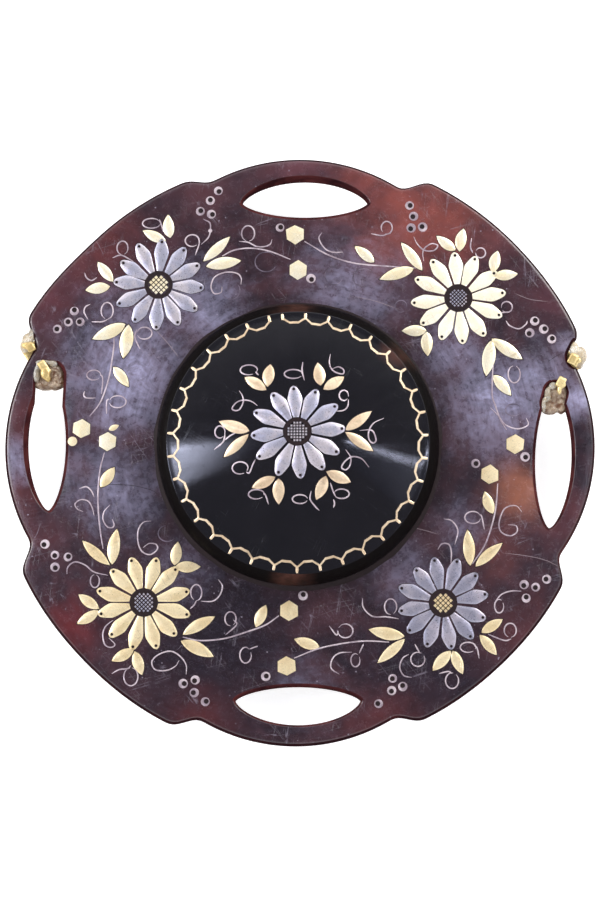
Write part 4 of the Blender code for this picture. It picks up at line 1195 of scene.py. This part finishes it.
TENDRILS = (
    # north-west
    curl(-17.8, 20.4, 0.55, 0.7, -70), [(-18.8, 19.4), (-17.9, 19.65), (-16.7, 19.0)],
    curl(-14.9, 22.9, 0.9, 0.5, 20), [(-14.1, 23.3), (-13.9, 22.7), (-13.7, 22.0)],
    [(-21.6, 17.9), (-21.4, 17.4), (-20.9, 17.1), (-20.35, 17.4)],
    curl(-19.3, 14, 0.6, 0.85, -80), [(-19.2, 13.15), (-19.8, 12.9), (-20.85, 12.9)],
    [(-21, 14.7), (-21.5, 14.4), (-21.6, 13.85), (-21.2, 13.1)],
    curl(-15.55, 11.7, 0.75, 0.6, 200), [(-16.3, 12.1), (-16.5, 11.3), (-16, 10.1)],
    curl(-10.8, 21.1, 0.7, 0.6, -20), [(-10.2, 21.4), (-10.1, 20.8), (-10.5, 19.6)],
    [(-9.9, 20.7), (-9.2, 21.4), (-9.0, 22.1), (-9.05, 22.9), (-9.7, 23.3)],
    curl(-5.2, 21.8, 0.65, 0.8, -80),
    [(-6.1, 21), (-5.2, 20.9), (-4.4, 20.5), (-3.65, 20.45), (-3, 20.7), (-2.8, 21.2)],
    [(-5.9, 16.6), (-5.9, 17.3), (-6.35, 17.75), (-7.4, 17.85), (-8.5, 17.4), (-8.9, 16.45),
     (-8.6, 15.7), (-7.9, 15.8), (-7.8, 16.4)],
    curl(-20.6, 7.5, 0.7, 0.5, -10), [(-19.95, 7.6), (-19.7, 7.1), (-19.8, 5.6)],
    [(-21.5, 5.9), (-21.6, 5.5), (-21.3, 5.2), (-20.4, 5.2)],
    curl(-18.2, 4.8, 0.85, 0.6, 190), [(-19.1, 5.1), (-19.3, 4.8), (-19.3, 3.6)],
    # north-east
    curl(8.7, 22.4, 0.55, 0.65, -110), [(7.1, 21.8), (8.2, 21.6), (8.8, 21.8)],
    [(11.4, 21.5), (11.8, 20.7), (12.5, 20.1), (13.4, 20.1), (13.8, 20.6), (13.2, 20.8),
     (12.5, 20.35), (12.3, 19.8), (12.4, 19)],
    [(17.2, 21.4), (17.1, 20.5), (17.3, 19.9)], curl(18.1, 19.9, 0.5, 0.5, 180),
    curl(20.7, 14.4, 0.55, 0.55, 220), [(19.9, 13.8), (20.4, 13.85), (21.0, 13.9)],
    [(20.6, 13), (21, 12.5), (21.9, 12.2), (22.6, 12.65), (22.75, 13)],
    curl(21.4, 7.6, 0.6, 0.87, 100),
    [(2.2, 21.9), (1.9, 21.3), (2.4, 20.35), (3.2, 19.9), (4.3, 19.9)],
    [(19, 4.2), (19.8, 3.4), (20.5, 2.5), (21.7, 2.1), (22.75, 2.5), (22.6, 3.2)],
    # south-west
    [(-20.5, -6.6), (-20.7, -5.8), (-21.1, -5.15), (-21.85, -5), (-22.4, -5.4), (-22.2, -5.9),
     (-21.6, -6.2)],
    [(-20.5, -4.75), (-20.8, -4.1), (-21.3, -3.7), (-22, -3.9)],
    [(-18.9, -5.5), (-19.5, -6.2), (-19.6, -7), (-19.2, -7.7), (-18.7, -7.8), (-18.5, -7.5),
     (-18.7, -6.95)],
    [(-14.8, -7.15), (-15.6, -7.3), (-16.1, -8.1), (-16.1, -9.3), (-15.7, -10.2), (-14.9, -10.5),
     (-14.2, -10), (-14.3, -9.5), (-15, -9.4), (-15.6, -9.8)],
    [(-23.2, -12.4), (-23.1, -11.7), (-22.4, -11.2), (-21.4, -11.5), (-20.5, -12.2), (-19.1, -12.55)],
    curl(-20.4, -13.1, 0.45, 0.65, 100),
    curl(-10.3, -14.3, 0.55, 0.8, -90), [(-10.3, -15.1), (-10.5, -15.5), (-10.9, -15.9)],
    [(-9.85, -15.15), (-8.7, -15.15), (-8, -14.6), (-7.7, -13.7), (-8.1, -13)],
    [(-18.6, -17), (-19.3, -17.6), (-19.6, -18.4), (-19.4, -19.4), (-18.8, -19.7),
     (-18.4, -19.4), (-19, -18.75)],
    curl(-16.8, -22.6, 0.7, 0.9, 110), [(-18.7, -22.3), (-17.95, -21.9), (-17.1, -21.8), (-16.8, -21.5)],
    [(-11.3, -22.4), (-11.3, -21.5), (-11.8, -20.7), (-12.8, -20.1), (-14, -20.4), (-14.7, -21.1),
     (-14.4, -21.9), (-13.3, -22), (-12.4, -21.6), (-12, -21)],
    curl(-6.9, -16.9, 0.55, 0.7, -60), [(-6.6, -17.0), (-6.3, -17.5), (-7.4, -18.5)],
    curl(-5.4, -20.5, 0.57, 0.78, 50), [(-5.0, -19.9), (-4.2, -19.6)],
    # south-east
    curl(17.2, -6.8, 0.8, 0.6, 20), [(17.9, -6.5), (18.1, -6.75), (18.35, -8)],
    [(22.1, -6.2), (21.5, -5.6), (20.5, -5.8), (20, -6.6), (19.8, -7.6), (20.1, -8.3),
     (20.95, -8.6), (21.6, -8.2), (21.5, -7.6), (20.7, -7.5)],
    [(14.3, -6.95), (15.1, -7.15), (15.7, -8.1), (15.4, -9.5)],
    [(13.7, -10), (14.1, -9.45), (14.8, -9.5), (15.05, -10.3), (15, -11.4)],
    curl(19.8, -15.6, 0.45, 0.68, 60), [(19.5, -15), (20.1, -14.4), (21, -14.1), (22, -14.1)],
    curl(20.9, -18, 0.6, 0.7, -80), [(21, -18.85), (20.3, -19), (18.7, -18.4)],
    curl(16.7, -19.7, 0.78, 0.5, -20), [(17.3, -19.5), (17.6, -19.8), (17.8, -20.8)],
    curl(15.1, -23, 0.65, 0.78, 80), [(15.1, -22.3), (14.7, -22.1), (13.8, -22.3)],
    curl(11.7, -20.9, 0.7, 0.7, 60), [(11.9, -20.3), (11.4, -19.4)],
    [(11.1, -22.7), (10.3, -22.5), (9.9, -21.7), (10.2, -20.8), (10.8, -20.4)],
    curl(5.5, -21, 0.45, 0.65, 60), [(5.9, -20.3), (6.3, -19.4)],
    [(5.15, -20.2), (3.9, -20.3), (3.2, -20.9), (3.1, -21.8), (3.9, -22.4)],
    curl(4.5, -18.1, 0.75, 0.68, 180), [(3.8, -18.1), (3.6, -18.5), (2.9, -17.6)],
    curl(9, -15.7, 0.6, 0.78, -60),
    [(6.2, -14.85), (6.3, -15.8), (7.2, -16.65), (8.6, -16.7), (9.8, -16.9)],
)

# Tendrils whose wire is lost or worn thin.
FAINT_TENDRILS = (
    curl(-3.4, 18.9, 1.1, 1.0, 40, 290),
    curl(6.4, 17.3, 1.1, 0.9, 30, 280),
    curl(3.4, 17.5, 0.9, 0.9, 60, 280),
    curl(10.1, 14.4, 0.6, 0.6, 0, 300),
    curl(21.3, 4, 0.8, 0.6, 20, 300),
    curl(-6.9, 16.0, 0.9, 0.9, 200, 200),
    curl(-13.2, -8.4, 0.9, 0.8, 100, 220),
    curl(13.1, -12.6, 0.8, 0.9, 150, 250),
)

# The boss's tendrils are given as they look in the main view, where the dome's height moves them
# up the page. This moves them back.
BOSS_SHIFT = -0.8
BOSS_TENDRILS = (
    curl(-5.06, 8.3, 0.85, 0.5, -30), [(-4.4, 8.1), (-4.1, 7.75)],
    curl(-0.65, 7.84, 0.9, 0.45, 0), [(0.28, 9.05), (0.2, 8.2), (0.43, 7.2)],
    [(3.0, 9.9), (2.9, 9.05), (3.1, 8.4), (3.6, 8), (4.24, 7.9), (4.3, 8.3), (3.8, 8.6), (3.2, 8.4)],
    [(-4.2, 4.65), (-4.8, 5.1), (-5.6, 5.24), (-6.3, 5), (-6.7, 4.4), (-6.3, 4.2), (-5.9, 4.4),
     (-5.6, 5.1), (-5.7, 5.7), (-6, 6.2)],
    curl(4.33, 5.7, 0.46, 0.52, -10), [(4.8, 5.3), (4.7, 4.6), (4.3, 4.2), (3.6, 4.1)],
    [(8.3, 3.5), (7.3, 3), (6.8, 2.2), (6.8, 1.4), (7.15, 1), (7.5, 1.25), (7.3, 2), (6.9, 2.3),
     (5.9, 2.2)],
    curl(-7.9, 2.1, 0.5, 0.6, -20), [(-7.4, 1.9), (-7.6, 1.1), (-8.5, 0.35)],
    [(-7.4, 1.3), (-6.9, 1.7), (-6.3, 2)],
    curl(-5.9, -1.5, 0.78, 0.6, -30), [(-5.3, -1.9), (-5, -2), (-4.65, -1.2), (-4.4, -0.7)],
    [(6.8, -1.4), (6.1, -0.6), (5.2, -0.4), (4.5, -0.8), (4.1, -1.45), (4.5, -1.7), (4.9, -1.3),
     (5, -0.5), (4.5, 0.3)],
    curl(-4.3, -4.1, 0.78, 0.46, -10), [(-3.6, -4.0), (-3.4, -4.2), (-3.1, -5.1)],
    curl(0, -4.6, 0.75, 0.43, 10), [(1.1, -3.8), (1.0, -4.6), (1.5, -5.3), (1.9, -5.7)],
    curl(4.1, -4.05, 0.75, 0.46, 200), [(3.5, -4.3), (3.25, -3.8), (3, -3)],
    [(3.3, -4.6), (3.4, -5.0), (3.3, -5.4)],
)


def make_wires():
    """Stems, tendrils, the bead on one of them, and the boss's own tendrils."""
    boss_tendrils = [[(x, y + BOSS_SHIFT) for x, y in path] for path in BOSS_TENDRILS]
    for name, paths, height_of, metal, sizes in (
        ("stem_wires", STEMS, front_z, WIRE, (0.17, 0.04, 0.6)),
        ("tendril_wires", TENDRILS, front_z, WIRE, (0.15, 0.05, 0.35)),
        ("faint_wires", FAINT_TENDRILS, front_z, WORN_WIRE, (0.13, 0.012, 0.35)),
        ("boss_tendril_wires", boss_tendrils, dome_z, WIRE, (0.16, 0.05, 0.35)),
    ):
        shape = Shape()
        for path in paths:
            wire(shape, path, height_of, *sizes)
        if name == "tendril_wires":
            bead = [point[:2] for point in circle(*BEAD, front_z, 0, 16)]
            polygon_plate(shape, bead, front_z, INLAY_SUNK, 0.08, 0.08)
        shape.piece(name, metal, "silver_inlay")


# ---------------------------------------------------------------- border of the boss

SCALLOPS = 34
SCALLOP_STEPS = 10
BORDER_CUSP = 12.42
BORDER_BULGE = 0.5
BORDER_BEND = 0.3
BORDER_WIDTH = 0.27
BORDER_SPUR = 12.97
SPUR_WIDTHS = ((0, 0.15, 0.15), (0.5, 0.16, 0.16), (1, 0.15, 0.15))
# Where the strip starts, in degrees, and the gap between its ends.
BORDER_START = 103.0
BORDER_GAP = 6.0


def make_border(chance):
    """A strip bent like half hexagons that point inwards, with a square foot at each cusp."""
    count = SCALLOPS * SCALLOP_STEPS
    shape = Shape()
    rows = []

    def on_boss(radius, turn):
        return BOSS_CENTRE + direction(turn) * radius

    bulge = BORDER_BULGE
    for i in range(count + 1):
        phase = (i % SCALLOP_STEPS) / SCALLOP_STEPS
        if phase == 0:
            bulge = BORDER_BULGE * chance.uniform(0.85, 1.1)
        turn = math.radians(BORDER_START + (360 - BORDER_GAP) * i / count)
        middle = BORDER_CUSP - bulge * min(phase / BORDER_BEND, (1 - phase) / BORDER_BEND, 1)
        row = []
        for side, lift in ((-0.5, INLAY_SUNK), (-0.36, 0.04), (0.36, 0.04), (0.5, INLAY_SUNK)):
            row.append(on_surface(on_boss(middle + side * BORDER_WIDTH, turn), dome_z, lift))
        rows.append(row)
        if phase == 0:
            inner = on_boss(BORDER_CUSP - 0.1, turn)
            outer = on_boss(BORDER_SPUR * chance.uniform(0.995, 1.003), turn)
            blade(shape, inner, outer, SPUR_WIDTHS, dome_z, 0.045)
    shape.tube(rows)
    shape.piece("boss_border_strip", GOLD_TAN, "gold_inlay", ["boss_border"])


# ---------------------------------------------------------------- marks of age

CRACKS = (
    [(-21.4, -3.75), (-19.2, -3.5), (-16.8, -3.6), (-14.9, -4.05), (-13.9, -4.6)],
    [(24.8, 8.9), (25.6, 9.45), (26.5, 9.9)],
    [(26.3, 8.4), (26.8, 8.1), (27.3, 7.7)],
    [(0.2, 23.4), (0.1, 22.9), (-0.1, 22.7)],
)
SCORES = (
    [(20.1, -10.3), (22.6, -10.6), (24.4, -11.0), (25.7, -11.6)],
    [(10.3, -7.7), (12.0, -8.0), (13.8, -8.5)],
    [(5.5, 15.4), (7.6, 14.9), (9.9, 14.1)],
    [(-12.0, 9.1), (-13.4, 10.9), (-14.5, 12.1)],
    [(21.5, 15.8), (23.1, 15.2), (24.9, 15.0)],
)


def make_marks():
    """Hairline cracks and the deepest scratches in the plate."""
    for name, paths, material in (("hairline_cracks", CRACKS, CRACK), ("deep_scores", SCORES, SCORE)):
        shape = Shape()
        for path in paths:
            wire(shape, path, front_z, width=0.06, rise=0.006, ends=0.2)
        shape.piece(name, material, "shell")


# ---------------------------------------------------------------- pin fittings and adhesive


def softened(node, name, material, body, width, angle=35):
    """The CAD node's own shape with its edges rounded."""
    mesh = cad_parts[node].data.copy()
    mesh.name = name
    work = bmesh.new()
    work.from_mesh(mesh)
    bmesh.ops.remove_doubles(work, verts=work.verts, dist=1e-7)
    bmesh.ops.dissolve_limit(work, angle_limit=math.radians(1), verts=work.verts, edges=work.edges)
    work.to_mesh(mesh)
    work.free()
    mesh.shade_smooth()
    mesh.set_sharp_from_angle(angle=math.radians(angle))
    made = add_piece(name, mesh, material, body, [node])
    bevel = made.modifiers.new("soft_edges", "BEVEL")
    bevel.width = width * MM
    bevel.segments = 4
    bevel.limit_method = "ANGLE"
    bevel.angle_limit = math.radians(angle)
    bevel.harden_normals = True
    return made


def melted(made, voxel, rounds):
    """Joins a piece's parts into one skin, of cells of a size in millimetres, and rounds it."""
    joined = made.modifiers.new("run_together", "REMESH")
    joined.mode = "VOXEL"
    joined.voxel_size = voxel * MM
    joined.use_smooth_shade = True
    made.modifiers.new("rounded", "SMOOTH").iterations = rounds


def make_fittings():
    """Hinge, catch, rivet, knuckle and pin, with worn edges."""
    for node, name in (
        ("hinge_fitting", "hinge_strap_and_ears"),
        ("catch_fitting", "catch_strap_and_hook"),
    ):
        melted(softened(node, name, GILT, "plate", 0.05), 0.08, 34)
    softened("hinge_rivet", "hinge_rivet_pin", STEEL, "plate", 0.04)
    softened("pin_knuckle", "pin_knuckle_barrel", GILT, "knuckle", 0.04)
    softened("pin_stem", "pin_stem_wire", STEEL, "stem", 0.01, 60)


# Lumps of adhesive and gilt metal: x, y, height above the front, and three half sizes.
PALE_LUMPS = {
    "left": ((-26.35, 7.7, -0.25, 0.4, 0.95, 0.3), (-25.75, 8.85, -0.2, 0.85, 0.32, 0.3),
             (-24.75, 8.75, -0.25, 0.55, 0.35, 0.3), (-26.1, 8.45, -0.2, 0.4, 0.4, 0.3)),
    "left_outer": ((-26.85, 11.8, -0.6, 0.35, 0.7, 0.6), (-27.35, 11.1, -0.65, 0.55, 0.8, 0.65),
                   (-27.6, 10.6, -0.95, 0.5, 0.7, 0.8)),
    "right": ((24.35, 4.5, -0.3, 0.25, 0.8, 0.3), (24.75, 5.6, -0.3, 0.35, 0.75, 0.3),
              (25.3, 6.5, -0.3, 0.45, 0.4, 0.3)),
    "right_outer": ((27.5, 10.2, -0.6, 0.5, 0.85, 0.7), (28.15, 9.6, -0.65, 0.6, 0.9, 0.75),
                    (27.9, 8.7, -0.7, 0.5, 0.5, 0.6)),
}
BROWN_LUMPS = {
    "left": ((-25.6, 7.0, -0.95, 1.3, 0.95, 0.6), (-24.5, 7.1, -0.95, 1.1, 1.0, 0.7),
             (-25.05, 7.9, -0.9, 1.5, 1.2, 0.7)),
    "right": ((25.0, 4.7, -1.0, 1.1, 1.1, 0.5), (26.15, 4.9, -1.0, 0.7, 1.2, 0.5),
              (25.6, 5.8, -0.95, 1.4, 1.2, 0.65)),
}
GILT_LUMPS = {
    "left": ((-25.45, 7.75, 0.12, 0.5, 0.75, 0.3), (-25.2, 7.2, 0.0, 0.3, 0.4, 0.25)),
    "left_outer": ((-27.2, 10.6, -0.25, 0.75, 0.42, 0.3), (-26.9, 10.3, -0.3, 0.4, 0.35, 0.3)),
    "right": ((26.2, 6.6, 0.1, 0.42, 0.42, 0.25), (25.95, 6.1, -0.1, 0.25, 0.55, 0.25)),
    "right_outer": ((27.75, 9.1, -0.3, 0.6, 0.4, 0.3), (27.6, 8.7, -0.4, 0.3, 0.35, 0.3)),
}

# How far a lump swells and is dented, as shares of its size.
LUMP_SWELL = 0.14
LUMP_DENTS = 0.05


def lump(shape, x, y, lift, rx, ry, rz, seed):
    """A smooth irregular lump."""
    work = bmesh.new()
    bmesh.ops.create_icosphere(work, subdivisions=4, radius=1)
    base = Vector((x, y, front_z(x, y) + lift))
    first = len(shape.points)
    for vert in work.verts:
        swell = 1 + LUMP_SWELL * noise.noise(vert.co * 1.6 + Vector((seed, seed * 2, 0)))
        swell += LUMP_DENTS * noise.noise(vert.co * 5 + Vector((seed, 0, seed)))
        size = Vector((vert.co.x * rx, vert.co.y * ry, vert.co.z * rz)) * swell
        shape.points.append(tuple(base + size))
    for face in work.faces:
        shape.faces.append(tuple(first + vert.index for vert in face.verts))
    work.free()


def make_adhesive():
    """Old adhesive, pale where it is thin and brown in the openings, and the claws' gilt lumps."""
    for lumps, tone, material, slot in (
        (PALE_LUMPS, "pale", GLUE_PALE, "old_adhesive"),
        (BROWN_LUMPS, "brown", GLUE_BROWN, "old_adhesive"),
        (GILT_LUMPS, "gilt", GILT, "gilt_brass"),
    ):
        for side, places in lumps.items():
            shape = Shape()
            for number, place in enumerate(places):
                lump(shape, *place, seed=3.7 * number + len(side))
            stands_for = [f"adhesive_{side}"] if tone == "brown" else []
            melted(shape.piece(f"adhesive_{tone}_{side}", material, slot, stands_for, 180), 0.09, 12)


# ---------------------------------------------------------------- floor, light and camera

VIEW_ELEVATION = 84.0
VIEW_DISTANCE = 450.0
FRAME_HEIGHT = 89.8
SENSOR = 36.0
VIEW_TARGET = Vector((0, 0, PLATE_TOP - 1.0))
VIEW_BACK = Vector((0, -math.cos(math.radians(VIEW_ELEVATION)), math.sin(math.radians(VIEW_ELEVATION))))

# Cards mirrored in the dome: the ends of their near and far edges there, their glow at both edges,
# and how much of it is lost from one side to the other.
CARD_DISTANCE = 400.0
CARD_STEPS = 12
CARD_COLOR = (0.73, 0.77, 1.0)
SLOPE_STEP = 0.05
CARDS = {
    "left_card": {
        "near": ((-4.0, 0.6), (-4.0, -0.5)),
        "far": ((-13.0, 0.0), (-12.8, -4.5)),
        "glow": (0.5, 27.0),
        "fade": 0.75,
    },
    "right_card": {
        "near": ((4.5, 0.3), (4.0, -1.0)),
        "far": ((12.4, -2.0), (11.5, -7.4)),
        "glow": (0.4, 1.5),
        "fade": 0.6,
    },
    "right_ray": {
        "near": ((4.6, 0.4), (4.5, 0.2)),
        "far": ((12.2, -1.8), (12.1, -2.3)),
        "glow": (30.0, 75.0),
        "fade": 0.0,
    },
}

WINDOWS = {
    "north_east_window": ((300, 260, 250), 1.3, (1.0, 0.98, 0.95)),
    "west_window": ((-380, 60, 250), 1.2, (0.97, 0.98, 1.0)),
}
WINDOW_SIDE = 200
WINDOW_TARGET = Vector((0, 0, 5))

FLOOR_REACH = 2000
FLOOR_GAP = 0.02

# The tent's light: two heights, as cosines of the angle from overhead, and the strength at each.
TENT_TOP = (0.86, 0.60, 0.15, 2.2)
TENT_FOOT = (0.10, 0.48, 0.08, 1.0)


def aim(made, target):
    """Turns a light or camera to look at a point."""
    made.rotation_mode = "QUATERNION"
    made.rotation_quaternion = (target - made.location).to_track_quat("-Z", "Y")


def add_window(name, place, power, color):
    """A square soft light at a place in millimetres, looking at the brooch."""
    data = bpy.data.lights.new(name, "AREA")
    data.size = WINDOW_SIDE * MM
    data.energy = power
    data.color = color
    made = placed(name, data)
    made.location = Vector(place) * MM
    aim(made, WINDOW_TARGET * MM)


def mirrored(x, y):
    """What the camera sees mirrored in a point of the dome, far above the brooch."""
    step = SLOPE_STEP
    slope_x = (dome_z(x + step, y) - dome_z(x - step, y)) / (2 * step)
    slope_y = (dome_z(x, y + step) - dome_z(x, y - step)) / (2 * step)
    normal = Vector((-slope_x, -slope_y, 1)).normalized()
    start = Vector((x, y, dome_z(x, y)))
    sight = (start - VIEW_TARGET - VIEW_BACK * VIEW_DISTANCE).normalized()
    return start + sight.reflect(normal) * CARD_DISTANCE


def make_card(name, card):
    """A glowing card, laid out by where its mirror image falls on the dome."""
    shape = Shape()
    starts = []
    glows = []
    near_glow, far_glow = card["glow"]
    for i in range(CARD_STEPS + 1):
        share = i / CARD_STEPS
        row = []
        for j in range(CARD_STEPS + 1):
            across = j / CARD_STEPS
            near, far = (Vector(a).lerp(Vector(b), across) for a, b in (card["near"], card["far"]))
            row.append(mirrored(*near.lerp(far, share)))
            glow = near_glow + (far_glow - near_glow) * share**2
            glows.append(glow * (1 - card["fade"] * across))
        starts.append(shape.ring(row))
    for first, second in zip(starts, starts[1:]):
        shape.faces += ring_faces(first, second, CARD_STEPS + 1, closed=False)
    mesh = shape.mesh(name)
    mesh.attributes.new("glow", "FLOAT", "POINT").data.foreach_set("value", glows)
    material = bpy.data.materials.new(name)
    nodes = Nodes(material)
    nodes.tree.nodes.clear()
    stored = nodes.node("ShaderNodeAttribute", attribute_name="glow").outputs["Fac"]
    shine = nodes.node("ShaderNodeEmission", {"Color": CARD_COLOR, "Strength": stored})
    nodes.node("ShaderNodeOutputMaterial", {"Surface": shine.outputs[0]})
    mesh.materials.append(material)
    made = placed(name, mesh)
    made.visible_camera = False
    made.visible_shadow = False


def make_tent():
    """Soft light from all round at half height, dark overhead and near the floor."""
    world = bpy.data.worlds.new("light_tent")
    nodes = Nodes(world)
    from_middle = nodes.node("ShaderNodeTexCoord").outputs["Generated"]
    height = nodes.node("ShaderNodeSeparateXYZ", (from_middle,)).outputs["Z"]
    strength = nodes.times(nodes.ramp(height, *TENT_TOP), nodes.ramp(height, *TENT_FOOT))
    background = nodes.tree.nodes["Background"]
    nodes.link(background.inputs["Color"], (0.95, 0.96, 1.0))
    nodes.link(background.inputs["Strength"], strength)
    bpy.context.scene.world = world


def make_stage():
    """A pale floor under the fittings, even light all round, the dome's cards and two windows."""
    work = bmesh.new()
    bmesh.ops.create_grid(work, x_segments=2, y_segments=2, size=FLOOR_REACH * MM)
    mesh = bpy.data.meshes.new("floor")
    work.to_mesh(mesh)
    work.free()
    mesh.materials.append(floor_material())
    floor = placed("floor", mesh)
    floor.location.z = CAD_BOX[0].z - FLOOR_GAP * MM
    make_tent()
    for name, card in CARDS.items():
        make_card(name, card)
    for name, window in WINDOWS.items():
        add_window(name, *window)


def make_camera():
    """The main view: nearly overhead, tipped a little towards the south side."""
    data = bpy.data.cameras.new("camera")
    data.sensor_width = SENSOR
    data.lens = SENSOR * VIEW_DISTANCE / FRAME_HEIGHT
    data.clip_start, data.clip_end = 0.01, 10
    camera = placed("camera", data)
    camera.location = (VIEW_TARGET + VIEW_BACK * VIEW_DISTANCE) * MM
    aim(camera, VIEW_TARGET * MM)
    bpy.context.scene.camera = camera


def main():
    chance = random.Random(7)
    beds = Shape()
    make_plate()
    make_boss()
    make_boss_shadow_seam()
    for place, flower in FLOWERS.items():
        make_flower(place, flower, chance, beds)
        make_flower_centre(place)
        make_leaves(place, chance, beds)
    make_small_leaf()
    make_hexagons(chance, beds)
    beds.piece("inlay_beds", SEAM, "shell")
    make_studs(chance)
    make_wires()
    make_border(chance)
    make_marks()
    make_fittings()
    make_adhesive()
    make_stage()
    make_camera()
    bpy.context.scene.view_settings.view_transform = "Standard"


main()
